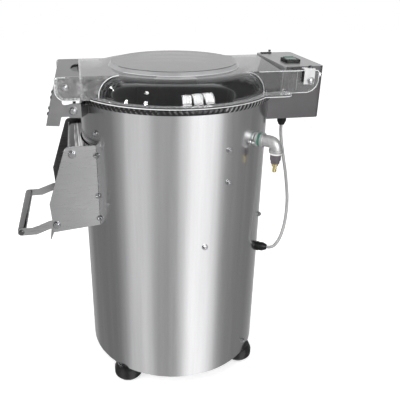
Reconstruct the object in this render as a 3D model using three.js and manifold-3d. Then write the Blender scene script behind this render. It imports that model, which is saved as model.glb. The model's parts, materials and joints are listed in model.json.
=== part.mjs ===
// Electric potato peeler: an upright stainless drum on four rubber feet, with a belt-driven abrasive disc,
// a clear lid hinged at the left, a discharge chute with its door and latch, a water inlet and a control box.
// Millimetres, +X to the right along the control box and the hinge, +Y to the back, +Z up.
import * as THREE from "three";
import { mergeVertices } from "three/addons/utils/BufferGeometryUtils.js";
import Module from "manifold-3d";

const wasm = await Module();
wasm.setup();

// Driving dimensions
const DRUM_RADIUS = 200;
const DRUM_HEIGHT = 609;
const FOOT_HEIGHT = 36.7;
const SHEET = 2;
const LID_SHEET = 4;
const BOX_SHEET = 1.5;
const FIT_GAP = 0.3;
const OVERRUN = 6;
const MERGE_DISTANCE = 1e-4;

// Counts of facets
const FINE_STEPS = 64;
const INNER_STEPS = 36;
const ROUND_STEPS = 24;
const SMALL_STEPS = 14;
const CORNER_STEPS = 3;

const HALF_TURN = Math.PI;
const QUARTER_TURN = Math.PI / 2;
const degrees = (angle) => (angle * Math.PI) / 180;

// Looks of the materials
const STAINLESS = { color: 0xb6b7b9, roughness: 0.25, metalness: 1 };
const PAINTED_CASTING = { color: 0x5d6468, roughness: 0.6, metalness: 0.3 };
const MACHINED_STEEL = { color: 0xa2a5a8, roughness: 0.35, metalness: 1 };
const ALUMINIUM = { color: 0xe2e2e4, roughness: 0.4, metalness: 0.9 };
const CLEAR_PLASTIC = { color: 0xd6dadd, roughness: 0.08, metalness: 0, transparent: true, opacity: 0.45 };
const BLACK_RUBBER = { color: 0x151515, roughness: 0.75, metalness: 0 };
const BLACK_PLASTIC = { color: 0x1b1b1c, roughness: 0.45, metalness: 0 };
const ABRASIVE = { color: 0x4b4946, roughness: 0.95, metalness: 0 };
const GREEN_PLASTIC = { color: 0x1f5b48, roughness: 0.35, metalness: 0 };
const GREEN_SEAL = { color: 0x1d7a55, roughness: 0.5, metalness: 0 };
const GREY_PVC = { color: 0x8f9092, roughness: 0.55, metalness: 0 };
const GALVANISED = { color: 0xa8aaab, roughness: 0.5, metalness: 0.8 };
const BRASS = { color: 0xc79f45, roughness: 0.35, metalness: 1 };

// Geometry helpers
function toSolid(geometry) {
  const bare = new THREE.BufferGeometry();
  bare.setAttribute("position", geometry.getAttribute("position"));
  bare.setIndex(geometry.getIndex());
  const merged = mergeVertices(bare, MERGE_DISTANCE);
  const vertProperties = merged.getAttribute("position").array;
  const triVerts = new Uint32Array(merged.getIndex().array);
  return new wasm.Manifold(new wasm.Mesh({ numProp: 3, vertProperties, triVerts }));
}

function toGeometry(solid) {
  const mesh = solid.getMesh();
  const places = new Float32Array(mesh.numVert * 3);
  for (let i = 0; i < mesh.numVert; i++) {
    const start = i * mesh.numProp;
    places.set(mesh.vertProperties.subarray(start, start + 3), i * 3);
  }
  const indexed = new THREE.BufferGeometry();
  indexed.setAttribute("position", new THREE.BufferAttribute(places, 3));
  indexed.setIndex(new THREE.BufferAttribute(mesh.triVerts, 1));
  const geometry = indexed.toNonIndexed();
  geometry.computeVertexNormals();
  return geometry;
}

const join = (...geometries) => geometries.map(toSolid).reduce((sum, next) => sum.add(next));
const cut = (solid, ...geometries) => geometries.map(toSolid).reduce((rest, next) => rest.subtract(next), solid);

// A profile of [radius, height] points turned about Z: a ring when no point lies on the axis.
function lathe(profile, steps = ROUND_STEPS) {
  const points = profile.map(([radius, height]) => new THREE.Vector2(radius, height));
  if (THREE.ShapeUtils.isClockWise(points)) points.reverse();
  if (points.every((point) => point.x > 0)) points.push(points[0].clone());
  return new THREE.LatheGeometry(points, steps).rotateX(QUARTER_TURN);
}

function cylinder(radius, bottom, top, steps = ROUND_STEPS) {
  const height = top - bottom;
  return new THREE.CylinderGeometry(radius, radius, height, steps).rotateX(QUARTER_TURN).translate(0, 0, bottom + height / 2);
}

function block(xRange, yRange, zRange) {
  const [x, y, z] = [xRange, yRange, zRange].map(([low, high]) => ({ size: high - low, middle: (low + high) / 2 }));
  return new THREE.BoxGeometry(x.size, y.size, z.size).translate(x.middle, y.middle, z.middle);
}

// A closed outline of [x, y, corner radius] points, each corner rounded as far as its edges allow.
function roundedShape(corners) {
  const count = corners.length;
  const bends = corners.map(([x, y, radius = 0], i) => {
    const corner = new THREE.Vector2(x, y);
    const [before, after] = [corners[(i + count - 1) % count], corners[(i + 1) % count]].map(([u, v]) => new THREE.Vector2(u, v).sub(corner));
    const half = before.angleTo(after) / 2;
    const reach = Math.min(radius / Math.tan(half), before.length() / 2, after.length() / 2);
    return { corner, reach, start: before.setLength(reach).add(corner), end: after.setLength(reach).add(corner) };
  });
  const shape = new THREE.Shape();
  shape.moveTo(bends[0].end.x, bends[0].end.y);
  for (const { corner, reach, start, end } of [...bends.slice(1), bends[0]]) {
    if (reach > 0) shape.lineTo(start.x, start.y);
    if (reach > 0) shape.quadraticCurveTo(corner.x, corner.y, end.x, end.y);
    else shape.lineTo(corner.x, corner.y);
  }
  return shape;
}

function roundedRectangle([left, right], [front, back], radius) {
  return roundedShape([[left, front, radius], [right, front, radius], [right, back, radius], [left, back, radius]]);
}

function prism(shape, bottom, top) {
  const settings = { depth: top - bottom, bevelEnabled: false, curveSegments: CORNER_STEPS };
  return new THREE.ExtrudeGeometry(shape, settings).translate(0, 0, bottom);
}

// A plate that stands in an X-Z plane: its shape holds x and z, and it fills front to back along Y.
function uprightPlate(shape, front, back) {
  return prism(shape, -back, -front).rotateX(QUARTER_TURN);
}

// A turned piece whose axis runs along Y, with its profile's heights measured to the back from y.
function turnedAlongY(profile, x, y, z, steps = SMALL_STEPS) {
  return lathe(profile, steps).rotateX(-QUARTER_TURN).translate(x, y, z);
}

// A turned piece whose axis runs out from the drum's own axis, with its heights measured from that axis.
function turnedOutward(profile, angle, z, steps = SMALL_STEPS) {
  return lathe(profile, steps).rotateY(QUARTER_TURN).rotateZ(angle).translate(0, 0, z);
}

// A round bar or pipe along straight runs whose corners are bends that start and end at the given distance.
function bentBar(places, bend, radius, steps, sides = SMALL_STEPS) {
  const points = places.map((place) => new THREE.Vector3(...place));
  const path = new THREE.CurvePath();
  let last = points[0];
  for (let i = 1; i < points.length - 1; i++) {
    const into = points[i].clone().add(points[i - 1].clone().sub(points[i]).setLength(bend));
    const out = points[i].clone().add(points[i + 1].clone().sub(points[i]).setLength(bend));
    path.add(new THREE.LineCurve3(last, into));
    path.add(new THREE.QuadraticBezierCurve3(into, points[i], out));
    last = out;
  }
  path.add(new THREE.LineCurve3(last, points[points.length - 1]));
  const section = new THREE.Shape().absarc(0, 0, radius, 0, 2 * HALF_TURN);
  return new THREE.ExtrudeGeometry(section, { steps, extrudePath: path, curveSegments: sides / 2 });
}

const peeler = new THREE.Group();
function addPiece(name, piece, look) {
  const geometry = piece.isBufferGeometry ? piece : toGeometry(piece);
  const mesh = new THREE.Mesh(geometry, new THREE.MeshStandardMaterial(look));
  mesh.name = name;
  peeler.add(mesh);
}

// Base and feet
const FOOT_CENTRE_RADIUS = 180;
const FOOT_RADIUS = 32.5;
const FOOT_SOLE_RADIUS = 25;
const FOOT_SHOULDER_RADIUS = 27;
const FOOT_BULGE_START = 9;
const FOOT_BULGE_END = 24;
const STUD_RADIUS = 4;
const STUD_RISE = 9;
const BASE_RIM = 14;
const BASE_OPENING_RADIUS = 70;
const FOOT_ANGLES = { front_left: -135, front_right: -36, rear_left: 144, rear_right: 45 };

const baseBottom = FOOT_HEIGHT + FIT_GAP;
const drumBottom = baseBottom;
const drumTop = drumBottom + DRUM_HEIGHT;
const drumInside = DRUM_RADIUS - SHEET;
const innerFit = drumInside - FIT_GAP;

const atAngle = (geometry, angle, radius) => geometry.translate(radius, 0, 0).rotateZ(degrees(angle));

function makeFoot() {
  const studTop = baseBottom + SHEET + STUD_RISE;
  return lathe([
    [0, 0],
    [FOOT_SOLE_RADIUS, 0],
    [FOOT_RADIUS, FOOT_BULGE_START],
    [FOOT_RADIUS, FOOT_BULGE_END],
    [FOOT_SHOULDER_RADIUS, FOOT_HEIGHT],
    [STUD_RADIUS, FOOT_HEIGHT],
    [STUD_RADIUS, studTop],
    [0, studTop],
  ]);
}

function makeBaseRing() {
  const ring = lathe([
    [BASE_OPENING_RADIUS, baseBottom],
    [innerFit, baseBottom],
    [innerFit, baseBottom + BASE_RIM],
    [innerFit - SHEET, baseBottom + BASE_RIM],
    [innerFit - SHEET, baseBottom + SHEET],
    [BASE_OPENING_RADIUS, baseBottom + SHEET],
  ], INNER_STEPS);
  const holes = Object.values(FOOT_ANGLES).map((angle) => {
    const hole = cylinder(STUD_RADIUS + FIT_GAP, baseBottom - OVERRUN, baseBottom + OVERRUN, SMALL_STEPS);
    return atAngle(hole, angle, FOOT_CENTRE_RADIUS);
  });
  return cut(toSolid(ring), ...holes);
}

for (const [place, angle] of Object.entries(FOOT_ANGLES)) {
  addPiece(`foot_${place}`, atAngle(makeFoot(), angle, FOOT_CENTRE_RADIUS), BLACK_RUBBER);
}
addPiece("base_ring", makeBaseRing(), STAINLESS);

// Discharge chute, its door and the latch bail, in the X-Z planes at the left of the drum
const CHUTE_FRONT = -100;
const CHUTE_BACK = 117;
const CHUTE_REACH = 274;
const CHUTE_MOUTH = 234;
const CHUTE_NOSE_HEIGHT = 441;
const CHUTE_TOP = 562;
const CHUTE_SLOPE_DROP = 14;
const CHUTE_FLOOR_END = 376;
const CHUTE_FLOOR_REACH = 270;
const CHUTE_CORNER = 13;
const CHUTE_ROOT = 140;
const LIP_REACH = 277;
const LIP_END = 360;
const DOOR_PIVOT = { x: -221, z: 546 };
const DOOR_ROLL_RADIUS = 9;
const DOOR_REACH = 158;
const DOOR_NARROWING_HEIGHT = 440;
const DOOR_DRUM_GAP = 2.6;
const LUG_RADIUS = 147;
const LUG_START = -92.5;
const LUG_END = -104;
const EAR_HEIGHT = 40;
const LATCH_PIVOT = { x: -263, z: 393 };
const ARM_THICKNESS = 3;
const ARM_SIDE_GAP = 0.5;
const ARM_DOOR_GAP = 1;
const CAM_GAP = 0.4;
const GRIP_RADIUS = 8.5;
const GRIP_PLACE = { x: -336, z: 380.5 };
const PIN_RADIUS = 4;
const BOLT_HEAD_RADIUS = 8;
const BOLT_HEAD_HEIGHT = 6;
const NUT_RADIUS = 6.4;
const NUT_HEIGHT = 5;

const pinHole = PIN_RADIUS + FIT_GAP;
const chuteInside = [CHUTE_FRONT + SHEET, CHUTE_BACK - SHEET];
const armFront = [chuteInside[0] + ARM_SIDE_GAP, chuteInside[0] + ARM_SIDE_GAP + ARM_THICKNESS];
const armBack = [chuteInside[1] - ARM_SIDE_GAP - ARM_THICKNESS, chuteInside[1] - ARM_SIDE_GAP];
const doorNarrow = [armFront[1] + ARM_DOOR_GAP, armBack[0] - ARM_DOOR_GAP];
const doorWide = [armFront[0], armBack[1]];
const chuteFloorStart = CHUTE_FLOOR_END + CHUTE_SLOPE_DROP;

const drumCutter = (gap) => cylinder(DRUM_RADIUS + gap, drumBottom, drumTop, FINE_STEPS);

function holeAlongY({ x, z }, radius, [front, back]) {
  const [start, end] = [front - OVERRUN, back + OVERRUN];
  return turnedAlongY([[0, start], [radius, start], [radius, end], [0, end]], x, 0, z);
}

function makeChute() {
  const cheek = roundedShape([
    [-CHUTE_ROOT, CHUTE_TOP],
    [-CHUTE_MOUTH, CHUTE_TOP, CHUTE_CORNER],
    [-CHUTE_REACH, CHUTE_NOSE_HEIGHT],
    [-CHUTE_FLOOR_REACH, CHUTE_FLOOR_END],
    [-CHUTE_ROOT, chuteFloorStart],
  ]);
  const floor = roundedShape([
    [-CHUTE_ROOT, chuteFloorStart],
    [-CHUTE_ROOT, chuteFloorStart + SHEET],
    [-CHUTE_FLOOR_REACH - SHEET, CHUTE_FLOOR_END + SHEET],
    [-LIP_REACH - SHEET, LIP_END],
    [-LIP_REACH, LIP_END],
    [-CHUTE_FLOOR_REACH, CHUTE_FLOOR_END],
  ]);
  const frame = join(
    uprightPlate(cheek, CHUTE_FRONT, chuteInside[0]),
    uprightPlate(cheek, chuteInside[1], CHUTE_BACK),
    uprightPlate(floor, CHUTE_FRONT, CHUTE_BACK),
  );
  const span = [CHUTE_FRONT, CHUTE_BACK];
  return cut(
    frame,
    drumCutter(FIT_GAP),
    holeAlongY(DOOR_PIVOT, pinHole, span),
    holeAlongY(LATCH_PIVOT, pinHole, span),
  );
}

// The door's sheet runs out from the drum, rolls over the pivot and hangs down to the chute's floor.
function doorSheet(lowest) {
  const { x, z } = DOOR_PIVOT;
  const inner = DOOR_ROLL_RADIUS - SHEET;
  const shape = new THREE.Shape();
  shape.moveTo(-CHUTE_ROOT, z + inner);
  shape.lineTo(-CHUTE_ROOT, z + DOOR_ROLL_RADIUS);
  shape.lineTo(x, z + DOOR_ROLL_RADIUS);
  shape.absarc(x, z, DOOR_ROLL_RADIUS, QUARTER_TURN, HALF_TURN, false);
  shape.lineTo(x - DOOR_ROLL_RADIUS, lowest);
  shape.lineTo(x - inner, lowest);
  shape.lineTo(x - inner, z);
  shape.absarc(x, z, inner, HALF_TURN, QUARTER_TURN, true);
  return shape;
}

function sillLug() {
  const { x, z } = DOOR_PIVOT;
  const lug = new THREE.Shape();
  lug.absarc(x, z, LUG_RADIUS, degrees(LUG_START), degrees(LUG_END), true);
  lug.absarc(x, z, LUG_RADIUS - SHEET, degrees(LUG_END), degrees(LUG_START), false);
  return lug;
}

function makeDoor() {
  const { x, z } = DOOR_PIVOT;
  const ear = roundedShape([
    [x + DOOR_ROLL_RADIUS, z + DOOR_ROLL_RADIUS, DOOR_ROLL_RADIUS],
    [x - DOOR_ROLL_RADIUS, z + DOOR_ROLL_RADIUS, DOOR_ROLL_RADIUS],
    [x - DOOR_ROLL_RADIUS, z - EAR_HEIGHT],
    [x + DOOR_ROLL_RADIUS, z - DOOR_ROLL_RADIUS, DOOR_ROLL_RADIUS],
  ]);
  const door = join(
    uprightPlate(doorSheet(DOOR_NARROWING_HEIGHT), ...doorWide),
    uprightPlate(doorSheet(z - DOOR_REACH), ...doorNarrow),
    uprightPlate(ear, doorWide[0], doorWide[0] + SHEET),
    uprightPlate(ear, doorWide[1] - SHEET, doorWide[1]),
    uprightPlate(sillLug(), doorWide[0], doorNarrow[0] + SHEET),
    uprightPlate(sillLug(), doorNarrow[1] - SHEET, doorWide[1]),
  );
  return cut(door, drumCutter(DOOR_DRUM_GAP), holeAlongY(DOOR_PIVOT, pinHole, doorWide));
}

// Each latch arm ends in a cam that stands just clear of the lug's circle at the door's sill.
const ARM_NECK_HALF = 9;
const ARM_END_HALF = 8;
const ARM_BEND_REACH = 42;
const ARM_BEND_DROP = 12;
const ARM_NECK_REACH = 13;
const ARM_ROUNDING = 5;
const camRadius = Math.hypot(DOOR_PIVOT.x - LATCH_PIVOT.x, DOOR_PIVOT.z - LATCH_PIVOT.z) - LUG_RADIUS - CAM_GAP;

function makeLatchArm([front, back]) {
  const { x, z } = LATCH_PIVOT;
  const end = GRIP_PLACE.x - ARM_END_HALF;
  const arm = roundedShape([
    [x, z - ARM_NECK_HALF],
    [x, z + ARM_NECK_HALF],
    [x - ARM_NECK_REACH, z + ARM_NECK_HALF, ARM_ROUNDING],
    [x - ARM_BEND_REACH - ARM_END_HALF, GRIP_PLACE.z + ARM_END_HALF, ARM_ROUNDING],
    [end, GRIP_PLACE.z + ARM_END_HALF, ARM_END_HALF],
    [end, GRIP_PLACE.z - ARM_END_HALF, ARM_END_HALF],
    [x - ARM_BEND_REACH, z - ARM_BEND_DROP - ARM_END_HALF, ARM_ROUNDING],
    [x - ARM_NECK_REACH, z - ARM_NECK_HALF, ARM_ROUNDING],
  ]);
  const cam = turnedAlongY([[0, front], [camRadius, front], [camRadius, back], [0, back]], x, 0, z, ROUND_STEPS);
  const holes = [LATCH_PIVOT, GRIP_PLACE].map((place) => holeAlongY(place, pinHole, [front, back]));
  return cut(join(uprightPlate(arm, front, back), cam), ...holes);
}

// The grip is a round bar between the arms, with a pin through each arm and a button head outside it.
const GRIP_HEAD_RADIUS = 6;
const GRIP_HEAD_HEIGHT = 3;
const GRIP_EDGE = 1;

function makeGrip() {
  const [start, end] = [armFront[1] + FIT_GAP, armBack[0] - FIT_GAP];
  const [headStart, headEnd] = [armFront[0] - FIT_GAP, armBack[1] + FIT_GAP];
  return turnedAlongY([
    [0, headStart - GRIP_HEAD_HEIGHT],
    [GRIP_HEAD_RADIUS - GRIP_EDGE, headStart - GRIP_HEAD_HEIGHT],
    [GRIP_HEAD_RADIUS, headStart],
    [PIN_RADIUS, headStart],
    [PIN_RADIUS, start],
    [GRIP_RADIUS - GRIP_EDGE, start],
    [GRIP_RADIUS, start + GRIP_EDGE],
    [GRIP_RADIUS, end - GRIP_EDGE],
    [GRIP_RADIUS - GRIP_EDGE, end],
    [PIN_RADIUS, end],
    [PIN_RADIUS, headEnd],
    [GRIP_HEAD_RADIUS, headEnd],
    [GRIP_HEAD_RADIUS - GRIP_EDGE, headEnd + GRIP_HEAD_HEIGHT],
    [0, headEnd + GRIP_HEAD_HEIGHT],
  ], GRIP_PLACE.x, 0, GRIP_PLACE.z);
}

// A shouldered bolt along Y: its head lies against the outer face, and a nut may follow at the inner end.
function makePivotBolt({ x, z }, outerFace, innerFace, hasNut) {
  const inward = Math.sign(innerFace - outerFace);
  const headFace = outerFace - inward * FIT_GAP;
  const nutFace = innerFace + inward * FIT_GAP;
  const profile = [
    [0, headFace - inward * BOLT_HEAD_HEIGHT],
    [BOLT_HEAD_RADIUS - SHEET, headFace - inward * BOLT_HEAD_HEIGHT],
    [BOLT_HEAD_RADIUS, headFace - inward * SHEET],
    [BOLT_HEAD_RADIUS, headFace],
    [PIN_RADIUS, headFace],
  ];
  const nut = [
    [PIN_RADIUS, nutFace],
    [NUT_RADIUS, nutFace],
    [NUT_RADIUS, nutFace + inward * NUT_HEIGHT],
    [0, nutFace + inward * NUT_HEIGHT],
  ];
  const plainEnd = [[PIN_RADIUS, innerFace], [0, innerFace]];
  return turnedAlongY([...profile, ...(hasNut ? nut : plainEnd)], x, 0, z);
}

addPiece("chute_frame", makeChute(), STAINLESS);
addPiece("chute_door", makeDoor(), STAINLESS);
addPiece("latch_arm_front", makeLatchArm(armFront), STAINLESS);
addPiece("latch_arm_rear", makeLatchArm(armBack), STAINLESS);
addPiece("latch_grip", makeGrip(), STAINLESS);
addPiece("door_pivot_front", makePivotBolt(DOOR_PIVOT, CHUTE_FRONT, doorWide[0] + SHEET, true), MACHINED_STEEL);
addPiece("door_pivot_rear", makePivotBolt(DOOR_PIVOT, CHUTE_BACK, doorWide[1] - SHEET, true), MACHINED_STEEL);
addPiece("latch_pivot_front", makePivotBolt(LATCH_PIVOT, CHUTE_FRONT, armFront[1], false), MACHINED_STEEL);
addPiece("latch_pivot_rear", makePivotBolt(LATCH_PIVOT, CHUTE_BACK, armBack[0], false), MACHINED_STEEL);

// Drum, liner, chamber floor and the openings through them
const WINDOW_BOTTOM = 396;
const WINDOW_TOP = 551;
const WINDOW_SIDE = 2;
const LINER_THICKNESS = 5;
const LINER_BOTTOM = 352;
const LINER_TOP = 632;
const LINER_RIB_RADIUS = 4.5;
const LINER_RIB_MARGIN = 8;
const LINER_RIB_ANGLES = [-108, -72, -36, 0, 36, 72, 108];
const INLET_ANGLE = degrees(-43);
const INLET_HEIGHT = 571;
const NIPPLE_RADIUS = 9;
const DRUM_GLAND_ANGLE = degrees(-26);
const DRUM_GLAND_HEIGHT = 297;
const GLAND_THREAD_RADIUS = 7.7;
const DRAIN_ANGLE = degrees(90);
const DRAIN_HEIGHT = 305;
const DRAIN_CENTRE_RADIUS = 150;
const DRAIN_RADIUS = 17;
const DRAIN_BORE = 14;
const FLOOR_THICKNESS = 3;
const FLOOR_BOTTOM = 344.7;
const FLOOR_RIM = 6;
const NECK_RADIUS = 32;
const COLLAR_HEIGHT = 11;

const windowSpan = [chuteInside[0] + WINDOW_SIDE, chuteInside[1] - WINDOW_SIDE];
const windowCutter = () => block([-DRUM_RADIUS - OVERRUN, -CHUTE_ROOT], windowSpan, [WINDOW_BOTTOM, WINDOW_TOP]);

function holeOutward(radius, angle, z) {
  const [start, end] = [drumInside - LINER_THICKNESS - OVERRUN, DRUM_RADIUS + OVERRUN];
  return turnedOutward([[0, start], [radius, start], [radius, end], [0, end]], angle, z, ROUND_STEPS);
}

function makeDrum() {
  const tube = lathe([
    [drumInside, drumBottom],
    [DRUM_RADIUS, drumBottom],
    [DRUM_RADIUS, drumTop],
    [drumInside, drumTop],
  ], FINE_STEPS);
  return cut(
    toSolid(tube),
    windowCutter(),
    holeOutward(NIPPLE_RADIUS + FIT_GAP, INLET_ANGLE, INLET_HEIGHT),
    holeOutward(GLAND_THREAD_RADIUS + FIT_GAP, DRUM_GLAND_ANGLE, DRUM_GLAND_HEIGHT),
    holeOutward(DRAIN_RADIUS + FIT_GAP, DRAIN_ANGLE, DRAIN_HEIGHT),
  );
}

function makeLiner() {
  const inner = innerFit - LINER_THICKNESS;
  const wall = lathe([
    [inner, LINER_BOTTOM],
    [innerFit, LINER_BOTTOM],
    [innerFit, LINER_TOP],
    [inner, LINER_TOP],
  ], INNER_STEPS);
  const ribs = LINER_RIB_ANGLES.map((angle) => {
    const rib = cylinder(LINER_RIB_RADIUS, LINER_BOTTOM + LINER_RIB_MARGIN, LINER_TOP - LINER_RIB_MARGIN, SMALL_STEPS / 2);
    return atAngle(rib, angle, inner);
  });
  return cut(join(wall, ...ribs), windowCutter(), holeOutward(NIPPLE_RADIUS + FIT_GAP, INLET_ANGLE, INLET_HEIGHT));
}

function makeChamberFloor() {
  const hub = NECK_RADIUS + FIT_GAP;
  const top = FLOOR_BOTTOM + FLOOR_THICKNESS;
  const pan = lathe([
    [hub, FLOOR_BOTTOM],
    [innerFit, FLOOR_BOTTOM],
    [innerFit, FLOOR_BOTTOM + FLOOR_RIM],
    [innerFit - SHEET, FLOOR_BOTTOM + FLOOR_RIM],
    [innerFit - SHEET, top],
    [hub + FLOOR_THICKNESS, top],
    [hub + FLOOR_THICKNESS, FLOOR_BOTTOM + COLLAR_HEIGHT],
    [hub, FLOOR_BOTTOM + COLLAR_HEIGHT],
  ], INNER_STEPS);
  const drain = cylinder(DRAIN_BORE, FLOOR_BOTTOM - OVERRUN, top + OVERRUN, SMALL_STEPS);
  return cut(toSolid(pan), drain.translate(0, DRAIN_CENTRE_RADIUS, 0));
}

addPiece("drum_body", makeDrum(), STAINLESS);
addPiece("abrasive_liner", makeLiner(), ABRASIVE);
addPiece("chamber_floor", makeChamberFloor(), STAINLESS);

// Rim seal: a rubber channel pressed over the drum's upper edge, with a flat bed for the lid
const SEAL_OVERHANG = 9.5;
const SEAL_INSET = 7;
const SEAL_ABOVE = 8.3;
const SEAL_LIP = 6;
const SEAL_EDGE = 3;

const sealTop = drumTop + SEAL_ABOVE;
const sealRadius = DRUM_RADIUS + SEAL_OVERHANG;

function makeRimSeal() {
  const low = drumTop - SEAL_LIP;
  return lathe([
    [drumInside - SEAL_INSET, low],
    [drumInside - FIT_GAP, low],
    [drumInside - FIT_GAP, drumTop + FIT_GAP],
    [DRUM_RADIUS + FIT_GAP, drumTop + FIT_GAP],
    [DRUM_RADIUS + FIT_GAP, low],
    [sealRadius - SEAL_EDGE, low],
    [sealRadius, low + SEAL_EDGE],
    [sealRadius, sealTop - SEAL_EDGE],
    [sealRadius - SEAL_EDGE, sealTop],
    [drumInside - SEAL_INSET, sealTop],
  ], FINE_STEPS);
}

addPiece("rim_seal", makeRimSeal(), BLACK_RUBBER);

// Clear lid: one thermoformed sheet with a round flange, a dome, a raised disc, a deck across it and four ears
const LID_FLANGE_RADIUS = 211;
const DOME_BASE_RADIUS = 197;
const DOME_TOP_RADIUS = 165;
const DECK_RISE = 45.4;
const DISC_RADIUS = 131;
const DISC_RISE = 7.5;
const DISC_SHOULDER = 6;
const DOME_STEPS = 4;
const DECK_LEFT = -196.7;
const DECK_RIGHT_FRONT = 197;
const DECK_RIGHT_BACK = 209;
const DECK_FRONT = -111;
const DECK_BACK = 92;
const EAR_LEFT = -244;
const EAR_RIGHT = 276;
const EAR_LEFT_CORNER = 20;
const EAR_RIGHT_CORNER = 26;
const EAR_TOP_CORNER = 7;
const TAB_RIGHT = 214;
const TAB_LEFT = 120;
const TAB_FRONT = -142;
const TAB_CORNER = 24;
const EAR_SCREW_RADIUS = 3;
const EAR_SCREW = { x: -224, z: 681 };

const lidBottom = sealTop + FIT_GAP;
const deckTop = lidBottom + DECK_RISE;

// The dome's outline from its foot to its raised disc, set in by the sheet for the inner face.
function domeProfile(inset) {
  const foot = lidBottom + LID_SHEET;
  const rise = deckTop - foot;
  const curve = Array.from({ length: DOME_STEPS + 1 }, (_, i) => {
    const turn = (QUARTER_TURN * i) / DOME_STEPS;
    const radius = DOME_TOP_RADIUS + (DOME_BASE_RADIUS - DOME_TOP_RADIUS) * Math.cos(turn);
    return [radius - inset, foot + rise * Math.sin(turn) - inset * Math.sin(turn)];
  });
  return [
    ...curve,
    [DISC_RADIUS + DISC_SHOULDER - inset, deckTop - inset],
    [DISC_RADIUS - inset, deckTop + DISC_RISE - inset],
    [0, deckTop + DISC_RISE - inset],
  ];
}

function earShape() {
  const left = [[EAR_LEFT, deckTop, EAR_TOP_CORNER], [EAR_LEFT, lidBottom, EAR_LEFT_CORNER]];
  const right = [[EAR_RIGHT, lidBottom, EAR_RIGHT_CORNER], [EAR_RIGHT, deckTop, EAR_TOP_CORNER]];
  return roundedShape([...left, ...right]);
}

function rearEarShape() {
  const left = [[EAR_LEFT, deckTop, EAR_TOP_CORNER], [EAR_LEFT, lidBottom, EAR_LEFT_CORNER]];
  return roundedShape([...left, [DECK_RIGHT_BACK - LID_SHEET, lidBottom], [DECK_RIGHT_BACK - LID_SHEET, deckTop]]);
}

// The deck seen from above: its right end runs a little out of square, and the inset gives its hollow.
function deckPlan(inset) {
  const [left, front, back] = [DECK_LEFT + inset, DECK_FRONT + inset, DECK_BACK - inset];
  return roundedShape([
    [left, front],
    [DECK_RIGHT_FRONT - inset, front],
    [DECK_RIGHT_BACK - inset, back],
    [left, back],
  ]);
}

function makeLid() {
  const foot = lidBottom + LID_SHEET;
  const dome = lathe([[0, lidBottom], [DOME_BASE_RADIUS, lidBottom], ...domeProfile(0)], FINE_STEPS);
  const flange = lathe([[0, lidBottom], [LID_FLANGE_RADIUS, lidBottom], [LID_FLANGE_RADIUS, foot], [0, foot]], FINE_STEPS);
  const deck = prism(deckPlan(0), lidBottom, deckTop);
  const tab = prism(roundedRectangle([TAB_LEFT, TAB_RIGHT], [TAB_FRONT, DECK_FRONT + LID_SHEET], TAB_CORNER), lidBottom, foot);
  const frontEar = uprightPlate(earShape(), DECK_FRONT, DECK_FRONT + LID_SHEET);
  const rearEar = uprightPlate(rearEarShape(), DECK_BACK - LID_SHEET, DECK_BACK);
  const hollowDome = lathe([
    [0, lidBottom - OVERRUN],
    [DOME_BASE_RADIUS - LID_SHEET, lidBottom - OVERRUN],
    ...domeProfile(LID_SHEET),
  ], FINE_STEPS);
  const hollowDeck = prism(deckPlan(LID_SHEET), foot, deckTop - LID_SHEET);
  const screwHoles = [[DECK_FRONT, DECK_FRONT + LID_SHEET], [DECK_BACK - LID_SHEET, DECK_BACK]].map((span) =>
    holeAlongY(EAR_SCREW, EAR_SCREW_RADIUS + FIT_GAP, span),
  );
  const outer = join(dome, flange, deck, tab, frontEar, rearEar);
  return cut(outer, hollowDome, hollowDeck, ...screwHoles);
}

// Lid bracket: a folded steel saddle between the left ears that turns on the two hinge bolts
const HINGE = { x: -212, z: 636 };
const BRACKET_SHEET = 2.5;
const BRACKET_TOP_LEFT = -239;
const BRACKET_FOOT_LEFT = -265;
const BRACKET_FOOT_RIGHT = -240;
const BRACKET_FOOT_BOTTOM = 608;
const BRACKET_STEP = 14;
const BRACKET_NOTCH_BACK = 20;
const BRACKET_NOTCH_CORNER = 5;
const HINGE_LUG_RADIUS = 12;
const UPPER_PLATE_BOTTOM = 657;
const FINGER_NOTCH_RADIUS = 20;
const OPEN_LID_ANGLE = degrees(80);
const OPEN_LID_GAP = 1.5;
const BRACKET_RIGHT = DECK_LEFT - FIT_GAP;

const bracketFront = DECK_FRONT + LID_SHEET + FIT_GAP;
const bracketBack = DECK_BACK - LID_SHEET - FIT_GAP;

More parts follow.
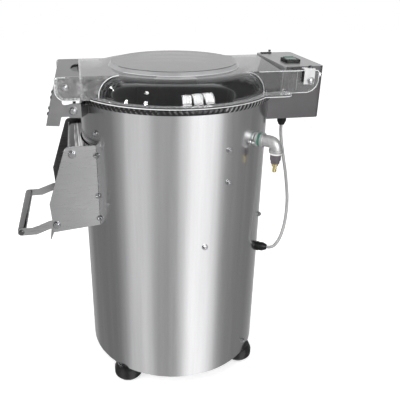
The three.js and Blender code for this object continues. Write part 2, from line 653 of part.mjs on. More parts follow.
// The saddle's lower edge follows the drum's curve, which it meets when the lid is fully open.
function makeLidBracket() {
  const notchBack = HINGE.x - BRACKET_NOTCH_BACK;
  const side = roundedShape([
    [BRACKET_TOP_LEFT, deckTop],
    [BRACKET_FOOT_LEFT, BRACKET_FOOT_BOTTOM],
    [BRACKET_FOOT_RIGHT, BRACKET_FOOT_BOTTOM - SHEET, SHEET],
    [BRACKET_FOOT_RIGHT + BRACKET_NOTCH_CORNER, HINGE.z - HINGE_LUG_RADIUS, SHEET],
    [HINGE.x + HINGE_LUG_RADIUS, HINGE.z - HINGE_LUG_RADIUS, HINGE_LUG_RADIUS],
    [HINGE.x + HINGE_LUG_RADIUS, HINGE.z + HINGE_LUG_RADIUS, HINGE_LUG_RADIUS],
    [notchBack, HINGE.z + HINGE_LUG_RADIUS - SHEET, BRACKET_NOTCH_CORNER],
    [notchBack, UPPER_PLATE_BOTTOM, BRACKET_NOTCH_CORNER],
    [BRACKET_RIGHT, UPPER_PLATE_BOTTOM],
    [BRACKET_RIGHT, deckTop],
  ]);
  const skin = roundedShape([
    [BRACKET_TOP_LEFT, deckTop],
    [BRACKET_FOOT_LEFT, BRACKET_FOOT_BOTTOM],
    [BRACKET_FOOT_LEFT + BRACKET_SHEET, BRACKET_FOOT_BOTTOM],
    [BRACKET_TOP_LEFT + BRACKET_SHEET, deckTop - BRACKET_SHEET],
    [BRACKET_RIGHT, deckTop - BRACKET_SHEET],
    [BRACKET_RIGHT, deckTop],
  ]);
  const saddle = join(
    uprightPlate(side, bracketFront, bracketFront + BRACKET_SHEET),
    uprightPlate(side, bracketBack - BRACKET_SHEET, bracketBack),
    uprightPlate(skin, bracketFront, bracketBack),
  );
  const finger = cylinder(FINGER_NOTCH_RADIUS, deckTop - OVERRUN, deckTop + OVERRUN, SMALL_STEPS);
  const span = [bracketFront, bracketBack];
  const drumWhenOpen = drumCutter(OPEN_LID_GAP)
    .translate(-HINGE.x, 0, -HINGE.z)
    .rotateY(OPEN_LID_ANGLE)
    .translate(HINGE.x, 0, HINGE.z);
  return cut(
    saddle,
    finger.translate(BRACKET_RIGHT, 0, 0),
    drumWhenOpen,
    holeAlongY(HINGE, pinHole, span),
    holeAlongY(EAR_SCREW, EAR_SCREW_RADIUS + FIT_GAP, span),
  );
}

// Hinge tabs on the drum: a round-ended plate whose inner end slants back to the drum's wall
const TAB_RADIUS = 13.8;
const TAB_THICKNESS = 3;
const TAB_GAP = 0.6;
const TAB_BEND = -197;
const TAB_END = -183;
const TAB_RETURN = 30;
const BUMPER_SIZE = 6;

// The seal above limits the height of the slanted end, and the drum's wall its length.
function makeHingeTab(face, outward) {
  const edge = face + outward * TAB_THICKNESS;
  const [front, back] = [face, edge].sort((a, b) => a - b);
  const [low, top] = [HINGE.z - TAB_RADIUS, HINGE.z + TAB_RADIUS];
  const end = HINGE.x - TAB_RADIUS;
  const plate = roundedShape([
    [end, low, TAB_RADIUS],
    [TAB_BEND, low],
    [TAB_BEND, top],
    [end, top, TAB_RADIUS],
  ]);
  const slant = roundedShape([
    [TAB_BEND, edge],
    [TAB_END, edge - outward * TAB_RETURN],
    [TAB_END - TAB_THICKNESS, edge - outward * TAB_RETURN],
    [TAB_BEND - TAB_THICKNESS, edge],
  ]);
  const sealRoom = cylinder(sealRadius + FIT_GAP, drumTop - SEAL_LIP - FIT_GAP, sealTop + OVERRUN, FINE_STEPS);
  return cut(
    join(uprightPlate(plate, front, back), prism(slant, low, top)),
    drumCutter(FIT_GAP),
    sealRoom,
    holeAlongY(HINGE, pinHole, [front, back]),
  );
}

function makeBumper(face, outward) {
  const [front, back] = [face, face + outward * TAB_THICKNESS].sort((a, b) => a - b);
  const bottom = HINGE.z + TAB_RADIUS + FIT_GAP;
  return block([HINGE.x, HINGE.x + BUMPER_SIZE], [front, back], [bottom, lidBottom - FIT_GAP]);
}

// Interlock on the right ear: an aluminium angle, a magnet behind it and the clear case beside them
const ANGLE_LEFT = 242;
const ANGLE_RIGHT = 270;
const ANGLE_BOTTOM = 672;
const ANGLE_SHEET = 2.2;
const ANGLE_DEPTH = 15;
const MAGNET_LEFT = 233;
const MAGNET_RIGHT = 259;
const MAGNET_DEPTH = 13;
const MAGNET_DROP = 20;
const CASE_LEFT = 200;
const CASE_RIGHT = 232;
const CASE_BOTTOM = 658.9;
const CASE_DEPTH = 24;
const CASE_CORNER = 3;
const SENSOR_GAP = 2;

const behindEar = DECK_FRONT + LID_SHEET + FIT_GAP;

function makeInterlockAngle() {
  const front = DECK_FRONT - FIT_GAP;
  const top = deckTop + FIT_GAP;
  const upright = block([ANGLE_LEFT, ANGLE_RIGHT], [front - ANGLE_SHEET, front], [ANGLE_BOTTOM, top + ANGLE_SHEET]);
  const level = block([ANGLE_LEFT, ANGLE_RIGHT], [front - ANGLE_SHEET, front + ANGLE_DEPTH], [top, top + ANGLE_SHEET]);
  return join(upright, level);
}

function makeCase() {
  const outline = roundedRectangle([CASE_LEFT, CASE_RIGHT], [behindEar, behindEar + CASE_DEPTH], CASE_CORNER);
  return prism(outline, CASE_BOTTOM, deckTop - LID_SHEET);
}

const magnetBack = behindEar + MAGNET_DEPTH;
const magnetSpan = [deckTop - MAGNET_DROP, deckTop];

addPiece("lid_cover", makeLid(), CLEAR_PLASTIC);
addPiece("lid_bracket", makeLidBracket(), STAINLESS);
addPiece("interlock_angle", makeInterlockAngle(), ALUMINIUM);
addPiece("interlock_magnet", block([MAGNET_LEFT, MAGNET_RIGHT], [behindEar, magnetBack], magnetSpan), BLACK_PLASTIC);
addPiece("interlock_case", makeCase(), CLEAR_PLASTIC);

const tabFaces = { front: [bracketFront - TAB_GAP, -1], rear: [bracketBack + TAB_GAP, 1] };
for (const [place, [face, outward]] of Object.entries(tabFaces)) {
  const outerFace = face + outward * TAB_THICKNESS;
  const innerFace = face - outward * (TAB_GAP + BRACKET_SHEET);
  addPiece(`hinge_tab_${place}`, makeHingeTab(face, outward), STAINLESS);
  addPiece(`lid_bumper_${place}`, makeBumper(face, outward), BLACK_RUBBER);
  addPiece(`lid_pivot_${place}`, makePivotBolt(HINGE, outerFace, innerFace, true), MACHINED_STEEL);
}

// Control box: a folded hood with a hollow curved back against the drum, closed by a bottom plate
const BOX_LEFT = 150;
const BOX_UPPER_LEFT = 218;
const BOX_RIGHT = 303;
const BOX_FRONT = -71;
const BOX_BACK = 118;
const BOX_TOP = 700;
const BOX_HEIGHT = 108;
const BOX_STEP_RISE = 45;
const BOX_CORNER = 9;
const BOTTOM_PLATE = 2;
const BOX_GLAND = { x: 236, y: -34 };
const MAINS_GLAND = { x: 262, y: 60 };
const SWITCH = { x: 253, y: -10 };
const BEZEL_HALF_X = 16;
const BEZEL_HALF_Y = 19;
const BEZEL_HEIGHT = 6;
const BEZEL_CORNER = 3;
const SWITCH_BODY_INSET = 2.5;
const SWITCH_BODY_DEPTH = 26;
const ROCKER_HALF_X = 11.5;
const ROCKER_HALF_Y = 13;
const ROCKER_GAP = 1.5;
const ROCKER_PIVOT_RISE = 3;
const ROCKER_CROWN = 4;
const ROCKER_DIP = 2;
const SWITCH_FLOOR = 4;
const STRIP_LEFT = 226;
const STRIP_RIGHT = 250;
const STRIP_FRONT = 100;
const STRIP_BACK = 110;
const STRIP_HEIGHT = 2;
const SENSOR_LEFT = 234;
const SENSOR_RIGHT = 262;
const SENSOR_HEIGHT = 19;
const SENSOR_DROP = 3;
const CONTACTOR_LEFT = 228;
const CONTACTOR_RIGHT = 284;
const CONTACTOR_FRONT = -4;
const CONTACTOR_BACK = 40;
const CONTACTOR_HEIGHT = 55;
const CONTACTOR_STEP = 14;

// The hood's lower half meets the drum, and its upper half stands back from the lid's flange.
const boxBottom = BOX_TOP - BOX_HEIGHT;
const boxStep = boxBottom + BOX_STEP_RISE;
const sensorSpan = [BOX_TOP - SENSOR_DROP - SENSOR_HEIGHT, BOX_TOP - SENSOR_DROP];

function boxBody(inset, bottom) {
  const [back, front] = [BOX_BACK - inset, BOX_FRONT + inset];
  const right = BOX_RIGHT - inset;
  const corner = BOX_CORNER - inset;
  const lower = roundedRectangle([BOX_LEFT + inset, right], [front, back], corner);
  const upper = roundedRectangle([BOX_UPPER_LEFT + inset, right], [front, back], corner);
  const body = join(prism(lower, bottom, boxStep - inset), prism(upper, bottom, BOX_TOP - inset));
  return cut(body, drumCutter(FIT_GAP + inset));
}

function makeControlBox() {
  const opening = [
    [SWITCH.x - BEZEL_HALF_X + SWITCH_BODY_INSET - FIT_GAP, SWITCH.x + BEZEL_HALF_X - SWITCH_BODY_INSET + FIT_GAP],
    [SWITCH.y - BEZEL_HALF_Y + SWITCH_BODY_INSET - FIT_GAP, SWITCH.y + BEZEL_HALF_Y - SWITCH_BODY_INSET + FIT_GAP],
    [BOX_TOP - OVERRUN, BOX_TOP + OVERRUN],
  ];
  const shell = boxBody(0, boxBottom).subtract(boxBody(BOX_SHEET, boxBottom - OVERRUN));
  return cut(shell, block(...opening));
}

function makeBottomPlate() {
  const low = boxBottom + FIT_GAP;
  const plate = boxBody(BOX_SHEET + FIT_GAP, low);
  const above = block([BOX_LEFT, BOX_RIGHT], [BOX_FRONT, BOX_BACK], [low + BOTTOM_PLATE, BOX_TOP]);
  const holes = [BOX_GLAND, MAINS_GLAND].map(({ x, y }) =>
    cylinder(GLAND_THREAD_RADIUS + FIT_GAP, low - OVERRUN, low + OVERRUN, SMALL_STEPS).translate(x, y, 0),
  );
  return cut(plate, above, ...holes);
}

// The switch: a bezel with a sunk well, and a rocker whose round underside turns in it
function makeSwitchFrame() {
  const low = BOX_TOP + FIT_GAP;
  const body = [BEZEL_HALF_X - SWITCH_BODY_INSET, BEZEL_HALF_Y - SWITCH_BODY_INSET];
  const bezel = prism(
    roundedRectangle(
      [SWITCH.x - BEZEL_HALF_X, SWITCH.x + BEZEL_HALF_X],
      [SWITCH.y - BEZEL_HALF_Y, SWITCH.y + BEZEL_HALF_Y],
      BEZEL_CORNER,
    ),
    low,
    low + BEZEL_HEIGHT,
  );
  const trunk = block(
    [SWITCH.x - body[0], SWITCH.x + body[0]],
    [SWITCH.y - body[1], SWITCH.y + body[1]],
    [BOX_TOP - SWITCH_BODY_DEPTH, low + BEZEL_HEIGHT / 2],
  );
  const well = block(
    [SWITCH.x - ROCKER_HALF_X - FIT_GAP, SWITCH.x + ROCKER_HALF_X + FIT_GAP],
    [SWITCH.y - ROCKER_HALF_Y - ROCKER_GAP, SWITCH.y + ROCKER_HALF_Y + ROCKER_GAP],
    [BOX_TOP - SWITCH_BODY_DEPTH + SWITCH_FLOOR, low + BEZEL_HEIGHT + OVERRUN],
  );
  return cut(join(bezel, trunk), well);
}

function makeRocker() {
  const pivot = BOX_TOP + ROCKER_PIVOT_RISE;
  const profile = new THREE.Shape();
  profile.absarc(SWITCH.y, pivot, ROCKER_HALF_Y, HALF_TURN, 0, false);
  profile.lineTo(SWITCH.y + ROCKER_HALF_Y, pivot + ROCKER_CROWN + ROCKER_DIP);
  profile.quadraticCurveTo(SWITCH.y, pivot + ROCKER_CROWN - ROCKER_DIP, SWITCH.y - ROCKER_HALF_Y, pivot + ROCKER_CROWN);
  const settings = { depth: 2 * ROCKER_HALF_X, bevelEnabled: false, curveSegments: SMALL_STEPS };
  const bar = new THREE.ExtrudeGeometry(profile, settings);
  return bar.rotateX(QUARTER_TURN).rotateZ(QUARTER_TURN).translate(SWITCH.x - ROCKER_HALF_X, 0, 0);
}

function makeContactor() {
  const low = boxBottom + FIT_GAP + BOTTOM_PLATE + FIT_GAP;
  const body = block([CONTACTOR_LEFT, CONTACTOR_RIGHT], [CONTACTOR_FRONT, CONTACTOR_BACK], [low, low + CONTACTOR_HEIGHT - CONTACTOR_STEP]);
  const crown = block(
    [CONTACTOR_LEFT + CONTACTOR_STEP, CONTACTOR_RIGHT - CONTACTOR_STEP],
    [CONTACTOR_FRONT, CONTACTOR_BACK],
    [low, low + CONTACTOR_HEIGHT],
  );
  return join(body, crown);
}

addPiece("control_box", makeControlBox(), STAINLESS);
addPiece("box_bottom_plate", makeBottomPlate(), STAINLESS);
addPiece("switch_frame", makeSwitchFrame(), BLACK_PLASTIC);
addPiece("switch_rocker", makeRocker(), GREEN_PLASTIC);
addPiece("contactor", makeContactor(), BLACK_PLASTIC);
addPiece(
  "interlock_sensor",
  block([SENSOR_LEFT, SENSOR_RIGHT], [magnetBack + SENSOR_GAP, BOX_FRONT - FIT_GAP], sensorSpan),
  BLACK_PLASTIC,
);
addPiece(
  "lid_rest_strip",
  block([STRIP_LEFT, STRIP_RIGHT], [STRIP_FRONT, STRIP_BACK], [BOX_TOP + FIT_GAP, BOX_TOP + FIT_GAP + STRIP_HEIGHT]),
  BLACK_RUBBER,
);

// Cable glands and the lead between the control box and the drum
const CORD_RADIUS = 3.5;
const GLAND_NUT_RADIUS = 11;
const GLAND_NUT_HEIGHT = 6;
const GLAND_DOME_RADIUS = 10;
const GLAND_DOME_LENGTH = 18;
const GLAND_MOUTH_RADIUS = 6;
const LOCKNUT_RADIUS = 10.5;
const LOCKNUT_HEIGHT = 5;
const CORD_SIDES = 10;
const CORD_STEPS = 26;
const CURVE_ROOM = 0.6;

// The profile starts at the outer face of the wall and its heights grow outward.
function glandProfile(wall) {
  const bore = CORD_RADIUS + FIT_GAP;
  const inside = -wall - 2 * FIT_GAP;
  return [
    [bore, inside - LOCKNUT_HEIGHT],
    [LOCKNUT_RADIUS, inside - LOCKNUT_HEIGHT],
    [LOCKNUT_RADIUS, inside],
    [GLAND_THREAD_RADIUS, inside],
    [GLAND_THREAD_RADIUS, 0],
    [GLAND_NUT_RADIUS, 0],
    [GLAND_NUT_RADIUS, GLAND_NUT_HEIGHT],
    [GLAND_DOME_RADIUS, GLAND_NUT_HEIGHT],
    [GLAND_DOME_RADIUS, GLAND_NUT_HEIGHT + GLAND_DOME_LENGTH / 2],
    [GLAND_MOUTH_RADIUS, GLAND_NUT_HEIGHT + GLAND_DOME_LENGTH],
    [bore, GLAND_NUT_HEIGHT + GLAND_DOME_LENGTH],
  ];
}

const glandLength = GLAND_NUT_HEIGHT + GLAND_DOME_LENGTH;
const boxGlandFace = boxBottom;

function makeBoxGland({ x, y }) {
  return lathe(glandProfile(BOTTOM_PLATE), SMALL_STEPS).rotateX(HALF_TURN).translate(x, y, boxGlandFace);
}

function makeDrumGland() {
  const start = DRUM_RADIUS + FIT_GAP;
  const profile = glandProfile(SHEET + CURVE_ROOM).map(([radius, height]) => [radius, height + start]);
  return turnedOutward(profile, DRUM_GLAND_ANGLE, DRUM_GLAND_HEIGHT);
}

const cordEnd = DRUM_RADIUS + FIT_GAP + glandLength + FIT_GAP;
const cordStart = boxGlandFace - glandLength - FIT_GAP;
const outwardPlace = (radius, z) => [radius * Math.cos(DRUM_GLAND_ANGLE), radius * Math.sin(DRUM_GLAND_ANGLE), z];

// The lead hangs from the box gland in one slack bow and turns in to the drum gland.
const CORD_ROUTE = [
  [BOX_GLAND.x, BOX_GLAND.y, cordStart],
  [236, -34.5, 556],
  [236.5, -41, 535],
  [240, -48.5, 506],
  [247, -54, 468],
  [251.5, -58.5, 436],
  [253.5, -66, 404],
  [252, -73, 373],
  [246, -82, 343],
  [236.5, -91, 320],
  [225, -98.5, 306],
  [214.5, -102, 299],
  outwardPlace(cordEnd + CORD_RADIUS, DRUM_GLAND_HEIGHT),
  outwardPlace(cordEnd, DRUM_GLAND_HEIGHT),
];

function makeCord() {
  const path = new THREE.CatmullRomCurve3(CORD_ROUTE.map((place) => new THREE.Vector3(...place)));
  const section = new THREE.Shape().absarc(0, 0, CORD_RADIUS, 0, 2 * HALF_TURN);
  return new THREE.ExtrudeGeometry(section, { steps: CORD_STEPS, extrudePath: path, curveSegments: CORD_SIDES / 2 });
}

addPiece("box_gland", makeBoxGland(BOX_GLAND), BLACK_PLASTIC);
addPiece("mains_gland", makeBoxGland(MAINS_GLAND), BLACK_PLASTIC);
addPiece("drum_gland", makeDrumGland(), BLACK_PLASTIC);
addPiece("motor_lead", makeCord(), GREY_PVC);

// Water inlet: nipple with its nut and its narrowed mouth inside, green washer, elbow, reducer and brass hose tail
const NIPPLE_START = 180;
const NIPPLE_END = 224;
const NIPPLE_BORE = 6.5;
const INLET_NUT_RADIUS = 16;
const INLET_NUT_LENGTH = 5;
const WASHER_RADIUS = 13.5;
const WASHER_LENGTH = 4;
const ELBOW_AXIS = 242.6;
const ELBOW_RADIUS = 12;
const ELBOW_BEND = 17;
const ELBOW_END = 551;
const ELBOW_BEAD_RADIUS = 14.5;
const ELBOW_BEAD_LENGTH = 6;
const ELBOW_STEPS = 9;
const REDUCER_TOP = 546.7;
const REDUCER_BOTTOM = 528;
const REDUCER_RADIUS = 11;
const REDUCER_NECK_RADIUS = 9;
const REDUCER_NECK = 535;
const REDUCER_SPIGOT = 556;
const REDUCER_SPIGOT_RADIUS = 8.7;
const REDUCER_BORE = 5.3;
const TAIL_BOTTOM = 509;
const TAIL_RADIUS = 5;
const TAIL_BARB = 1.3;
const TAIL_BARBS = 3;
const TAIL_BARB_PITCH = 4.5;
const TAIL_BORE = 2.8;
const TAIL_SPIGOT = 540;
const NOZZLE_FACE = 3;
const NOZZLE_MOUTH = 4;

function makeNipple() {
  const nutStart = DRUM_RADIUS + FIT_GAP;
  return turnedOutward([
    [NOZZLE_MOUTH, NIPPLE_START],
    [NIPPLE_RADIUS, NIPPLE_START],
    [NIPPLE_RADIUS, nutStart],
    [INLET_NUT_RADIUS, nutStart],
    [INLET_NUT_RADIUS, nutStart + INLET_NUT_LENGTH],
    [NIPPLE_RADIUS, nutStart + INLET_NUT_LENGTH],
    [NIPPLE_RADIUS, NIPPLE_END],
    [NIPPLE_BORE, NIPPLE_END],
    [NIPPLE_BORE, NIPPLE_START + NOZZLE_FACE],
  ], INLET_ANGLE, INLET_HEIGHT);
}

const washerStart = DRUM_RADIUS + FIT_GAP + INLET_NUT_LENGTH + FIT_GAP;
const elbowStart = washerStart + WASHER_LENGTH + FIT_GAP;

function makeWasher() {
  const bore = NIPPLE_RADIUS + FIT_GAP;
  return turnedOutward([
    [bore, washerStart],
    [WASHER_RADIUS, washerStart],
    [WASHER_RADIUS, washerStart + WASHER_LENGTH],
    [bore, washerStart + WASHER_LENGTH],
  ], INLET_ANGLE, INLET_HEIGHT, ROUND_STEPS);
}

const inletPlace = (geometry) => geometry.rotateZ(INLET_ANGLE);

function makeElbow() {
  const corner = [ELBOW_AXIS, 0, INLET_HEIGHT];
  const bar = (radius, run) =>
    bentBar([[elbowStart - run, 0, INLET_HEIGHT], corner, [ELBOW_AXIS, 0, ELBOW_END - run]], ELBOW_BEND, radius, ELBOW_STEPS);
  const onAxis = (geometry) => geometry.translate(ELBOW_AXIS, 0, 0);
  const bead = cylinder(ELBOW_BEAD_RADIUS, ELBOW_END, ELBOW_END + ELBOW_BEAD_LENGTH, SMALL_STEPS);
  const rearBead = cylinder(ELBOW_BEAD_RADIUS, elbowStart, elbowStart + ELBOW_BEAD_LENGTH, SMALL_STEPS)
    .rotateY(QUARTER_TURN)
    .translate(0, 0, INLET_HEIGHT);
  const pieces = [bar(ELBOW_RADIUS, 0), onAxis(bead), rearBead].map(inletPlace);
  const bore = inletPlace(bar(NIPPLE_RADIUS + FIT_GAP, OVERRUN));
  return cut(join(...pieces), bore);
}

function makeReducer() {
  const pipe = lathe([
    [REDUCER_BORE, REDUCER_BOTTOM],
    [REDUCER_NECK_RADIUS, REDUCER_BOTTOM],
    [REDUCER_NECK_RADIUS, REDUCER_NECK],
    [REDUCER_RADIUS, REDUCER_NECK],
    [REDUCER_RADIUS, REDUCER_TOP],
    [REDUCER_SPIGOT_RADIUS, REDUCER_TOP],
    [REDUCER_SPIGOT_RADIUS, REDUCER_SPIGOT],
    [REDUCER_BORE, REDUCER_SPIGOT],
  ], SMALL_STEPS);
  return inletPlace(pipe.translate(ELBOW_AXIS, 0, 0));
}

function makeHoseTail() {
  const collar = REDUCER_BOTTOM - FIT_GAP;
  const barbs = Array.from({ length: TAIL_BARBS }, (_, i) => {
    const low = TAIL_BOTTOM + i * TAIL_BARB_PITCH;
    return [[TAIL_RADIUS, low], [TAIL_RADIUS + TAIL_BARB, low + TAIL_BARB_PITCH - TAIL_BARB / 2]];
  });
  const tail = lathe([
    [TAIL_BORE, TAIL_BOTTOM],
    ...barbs.flat(),
    [TAIL_RADIUS, TAIL_BOTTOM + TAIL_BARBS * TAIL_BARB_PITCH],
    [REDUCER_NECK_RADIUS, TAIL_BOTTOM + TAIL_BARBS * TAIL_BARB_PITCH],
    [REDUCER_NECK_RADIUS, collar],
    [TAIL_RADIUS, collar],
    [TAIL_RADIUS, TAIL_SPIGOT],
    [TAIL_BORE, TAIL_SPIGOT],
  ], SMALL_STEPS);
  return inletPlace(tail.translate(ELBOW_AXIS, 0, 0));
}

addPiece("inlet_nipple", makeNipple(), GALVANISED);
addPiece("inlet_washer", makeWasher(), GREEN_SEAL);
addPiece("inlet_elbow", makeElbow(), GALVANISED);
addPiece("inlet_reducer", makeReducer(), GREY_PVC);
addPiece("hose_tail", makeHoseTail(), BRASS);

// Drain: a bent pipe that hangs under the chamber floor and leaves the drum at the back
const DRAIN_OUT = 246;
const DRAIN_BEND = 30;
const DRAIN_FLANGE_RADIUS = 27;
const DRAIN_FLANGE = 4;
const DRAIN_STEPS = 9;

function makeDrain() {
  const top = FLOOR_BOTTOM - FIT_GAP;
  const bar = (radius, run) =>
    bentBar(
      [[0, DRAIN_CENTRE_RADIUS, top + run], [0, DRAIN_CENTRE_RADIUS, DRAIN_HEIGHT], [0, DRAIN_OUT + run, DRAIN_HEIGHT]],
      DRAIN_BEND,
      radius,
      DRAIN_STEPS,
    );
  const flange = cylinder(DRAIN_FLANGE_RADIUS, top - DRAIN_FLANGE, top, SMALL_STEPS).translate(0, DRAIN_CENTRE_RADIUS, 0);
  return cut(join(bar(DRAIN_RADIUS, 0), flange), bar(DRAIN_BORE, OVERRUN));
}

addPiece("drain_elbow", makeDrain(), STAINLESS);

// Spindle: housing, two ball bearings, lip seal, shaft, abrasive disc with its cap, and the driven pulley
const SHAFT_RADIUS = 12.5;
const SPIGOT_RADIUS = 10;
const SHAFT_THREAD_RADIUS = 9;
const SHAFT_BOTTOM = 124;
const SHAFT_TOP = 396;
const CARRIER_RADIUS = 40;
const CARRIER_THICKNESS = 6;
const DISC_BOTTOM = 372;
const DISC_PLATE_RADIUS = 184;
const DISC_THICKNESS = 8;
const DISC_BOSS_RADIUS = 44;
const DISC_BOSS_RISE = 6;
const WAVE_RADIUS = 20;
const WAVE_RISE = 9;
const WAVE_START = 36;
const WAVE_END = 172;
const WAVE_ANGLES = [30, 150, 270];
const CAP_RADIUS = 27;
const CAP_HEIGHT = 17;
const CAP_EDGE = 6;
const CAP_CROWN_SHARE = 0.55;
const CAP_WALL = 5;
const HOUSING_RADIUS = 36;
const HOUSING_BOTTOM = 232;
const HOUSING_TOP = 362;
const HOUSING_FLANGE_RADIUS = 62;
const HOUSING_FLANGE = 10;
const HOUSING_SHOULDER_RADIUS = 20;
const BEARING_RADIUS = 26;
const BEARING_WIDTH = 15;
const LOWER_BEARING = 236;
const UPPER_BEARING = 318;
const LIP_SEAL_BOTTOM = 349;
const LIP_SEAL_HEIGHT = 11;
const LIP_SEAL_RECESS = 5;
const LIP_SEAL_WALL = 3;

const shaftBore = SHAFT_RADIUS + FIT_GAP;
const seatFit = BEARING_RADIUS - FIT_GAP;

function makeHousing() {
  const flangeTop = FLOOR_BOTTOM - FIT_GAP;
  const lowerSeatTop = LOWER_BEARING + BEARING_WIDTH + FIT_GAP;
  const upperSeat = UPPER_BEARING - FIT_GAP;
  return lathe([
    [BEARING_RADIUS, HOUSING_BOTTOM],
    [HOUSING_RADIUS, HOUSING_BOTTOM],
    [HOUSING_RADIUS, flangeTop - HOUSING_FLANGE],
    [HOUSING_FLANGE_RADIUS, flangeTop - HOUSING_FLANGE],
    [HOUSING_FLANGE_RADIUS, flangeTop],
    [NECK_RADIUS, flangeTop],
    [NECK_RADIUS, HOUSING_TOP],
    [BEARING_RADIUS, HOUSING_TOP],
    [BEARING_RADIUS, upperSeat],
    [HOUSING_SHOULDER_RADIUS, upperSeat],
    [HOUSING_SHOULDER_RADIUS, lowerSeatTop],
    [BEARING_RADIUS, lowerSeatTop],
  ]);
}

function makeBearing(bottom) {
  const top = bottom + BEARING_WIDTH;
  return lathe([[shaftBore, bottom], [seatFit, bottom], [seatFit, top], [shaftBore, top]]);
}

function makeLipSeal() {
  const top = LIP_SEAL_BOTTOM + LIP_SEAL_HEIGHT;
  return lathe([
    [shaftBore, LIP_SEAL_BOTTOM + LIP_SEAL_RECESS],
    [seatFit - LIP_SEAL_WALL, LIP_SEAL_BOTTOM + LIP_SEAL_RECESS],
    [seatFit - LIP_SEAL_WALL, LIP_SEAL_BOTTOM],
    [seatFit, LIP_SEAL_BOTTOM],
    [seatFit, top],
    [shaftBore, top],
  ]);
}

function makeShaft(seatBottom) {
  const carrierTop = DISC_BOTTOM - FIT_GAP;
  return lathe([
    [0, SHAFT_BOTTOM],
    [SHAFT_THREAD_RADIUS, SHAFT_BOTTOM],
    [SHAFT_THREAD_RADIUS, seatBottom],
    [SHAFT_RADIUS, seatBottom],
    [SHAFT_RADIUS, carrierTop - CARRIER_THICKNESS],
    [CARRIER_RADIUS, carrierTop - CARRIER_THICKNESS],
    [CARRIER_RADIUS, carrierTop],
    [SPIGOT_RADIUS, carrierTop],
    [SPIGOT_RADIUS, SHAFT_TOP],
    [0, SHAFT_TOP],
  ]);
}

// The disc's three round ridges throw the load about; each is a long ellipsoid sunk in the plate.
function makeDisc() {
  const top = DISC_BOTTOM + DISC_THICKNESS;
  const hole = SPIGOT_RADIUS + FIT_GAP;
  const plate = lathe([
    [hole, DISC_BOTTOM],
    [DISC_PLATE_RADIUS - SHEET, DISC_BOTTOM],
    [DISC_PLATE_RADIUS, DISC_BOTTOM + SHEET],
    [DISC_PLATE_RADIUS, top - SHEET],
    [DISC_PLATE_RADIUS - SHEET, top],
    [DISC_BOSS_RADIUS, top],
    [DISC_BOSS_RADIUS - DISC_BOSS_RISE, top + DISC_BOSS_RISE],
    [hole, top + DISC_BOSS_RISE],
  ], INNER_STEPS);
  const length = WAVE_END - WAVE_START;
  const waves = WAVE_ANGLES.map((angle) => {
    const wave = new THREE.SphereGeometry(1, SMALL_STEPS, SMALL_STEPS / 2).rotateZ(QUARTER_TURN);
    wave.scale(length / 2, WAVE_RADIUS, WAVE_RISE);
    return atAngle(wave.translate(0, 0, top), angle, WAVE_START + length / 2);
  });
  const below = cylinder(DISC_PLATE_RADIUS, DISC_BOTTOM - WAVE_RISE, DISC_BOTTOM, INNER_STEPS);
  const bore = cylinder(hole, DISC_BOTTOM - OVERRUN, top + DISC_BOSS_RISE + OVERRUN);
  return cut(join(plate, ...waves), below, bore);
}

function makeDiscCap() {
  const low = DISC_BOTTOM + DISC_THICKNESS + DISC_BOSS_RISE + FIT_GAP;
  const high = low + CAP_HEIGHT;
  const hole = SPIGOT_RADIUS + FIT_GAP;
  return lathe([
    [0, high - CAP_WALL],
    [hole, high - CAP_WALL],
    [hole, low],
    [CAP_RADIUS, low],
    [CAP_RADIUS, low + CAP_EDGE],
    [CAP_RADIUS * CAP_CROWN_SHARE, high - CAP_EDGE / 2],
    [0, high],
  ]);
}

addPiece("bearing_housing", makeHousing(), PAINTED_CASTING);
addPiece("lower_bearing", makeBearing(LOWER_BEARING), MACHINED_STEEL);
addPiece("upper_bearing", makeBearing(UPPER_BEARING), MACHINED_STEEL);
addPiece("shaft_seal", makeLipSeal(), BLACK_RUBBER);
addPiece("abrasive_disc", makeDisc(), ABRASIVE);
addPiece("disc_cap", makeDiscCap(), MACHINED_STEEL);

// Belt drive: a hung plate that carries the motor, the two pulleys and the V-belt
const MOTOR_OFFSET = 122;
const PLATE_BOTTOM = 190;
const PLATE_THICKNESS = 5;
const PLATE_LEFT = -78;
const PLATE_RIGHT = 148;
const PLATE_HALF_WIDTH = 118;
const PLATE_CORNER = 30;
const PILLAR_RADIUS = 6;
const PILLARS = [[-62, -60], [-62, 60], [96, -104], [96, 104]];
const SHAFT_WINDOW_RADIUS = 30;
const MOTOR_RADIUS = 58;
const MOTOR_FLANGE_RADIUS = 63;
const MOTOR_FLANGE = 10;
const MOTOR_TOP = 332;
const MOTOR_PILOT_RADIUS = 26;
const MOTOR_FAN_COVER = 34;
const MOTOR_NECK = 4;
const MOTOR_FINS = 16;
const FIN_DEPTH = 5;
const FIN_THICKNESS = 3;
const ROTOR_RADIUS = 9.5;
const ROTOR_BOTTOM = 136;
const ROTOR_TOP = 222;
const TERMINAL_HALF = 24;
const TERMINAL_DEPTH = 18;
const TERMINAL_BOTTOM = 232;
const TERMINAL_TOP = 284;
const PULLEY_BOTTOM = 140;
const PULLEY_WIDTH = 24;
const DRIVEN_RADIUS = 85;
const DRIVER_RADIUS = 30;
const PULLEY_HUB_RADIUS = 24;
const PULLEY_RIM = 12;
const PULLEY_WEB = 8;
const PULLEY_HOLE_RADIUS = 15;
const PULLEY_HOLES = 4;
const BELT_HEIGHT = 8;
const BELT_TOP_HALF = 6;
const BELT_TAPER_SHARE = 0.25;
const GROOVE_DEPTH = 10;
const BELT_STEPS = 16;
const CAPACITOR = { x: 34, y: -90 };
const CAPACITOR_RADIUS = 18;
const CAPACITOR_HEIGHT = 62;
const CAPACITOR_EDGE = 3;

const plateTop = PLATE_BOTTOM + PLATE_THICKNESS;
const beltMiddle = PULLEY_BOTTOM + PULLEY_WIDTH / 2;

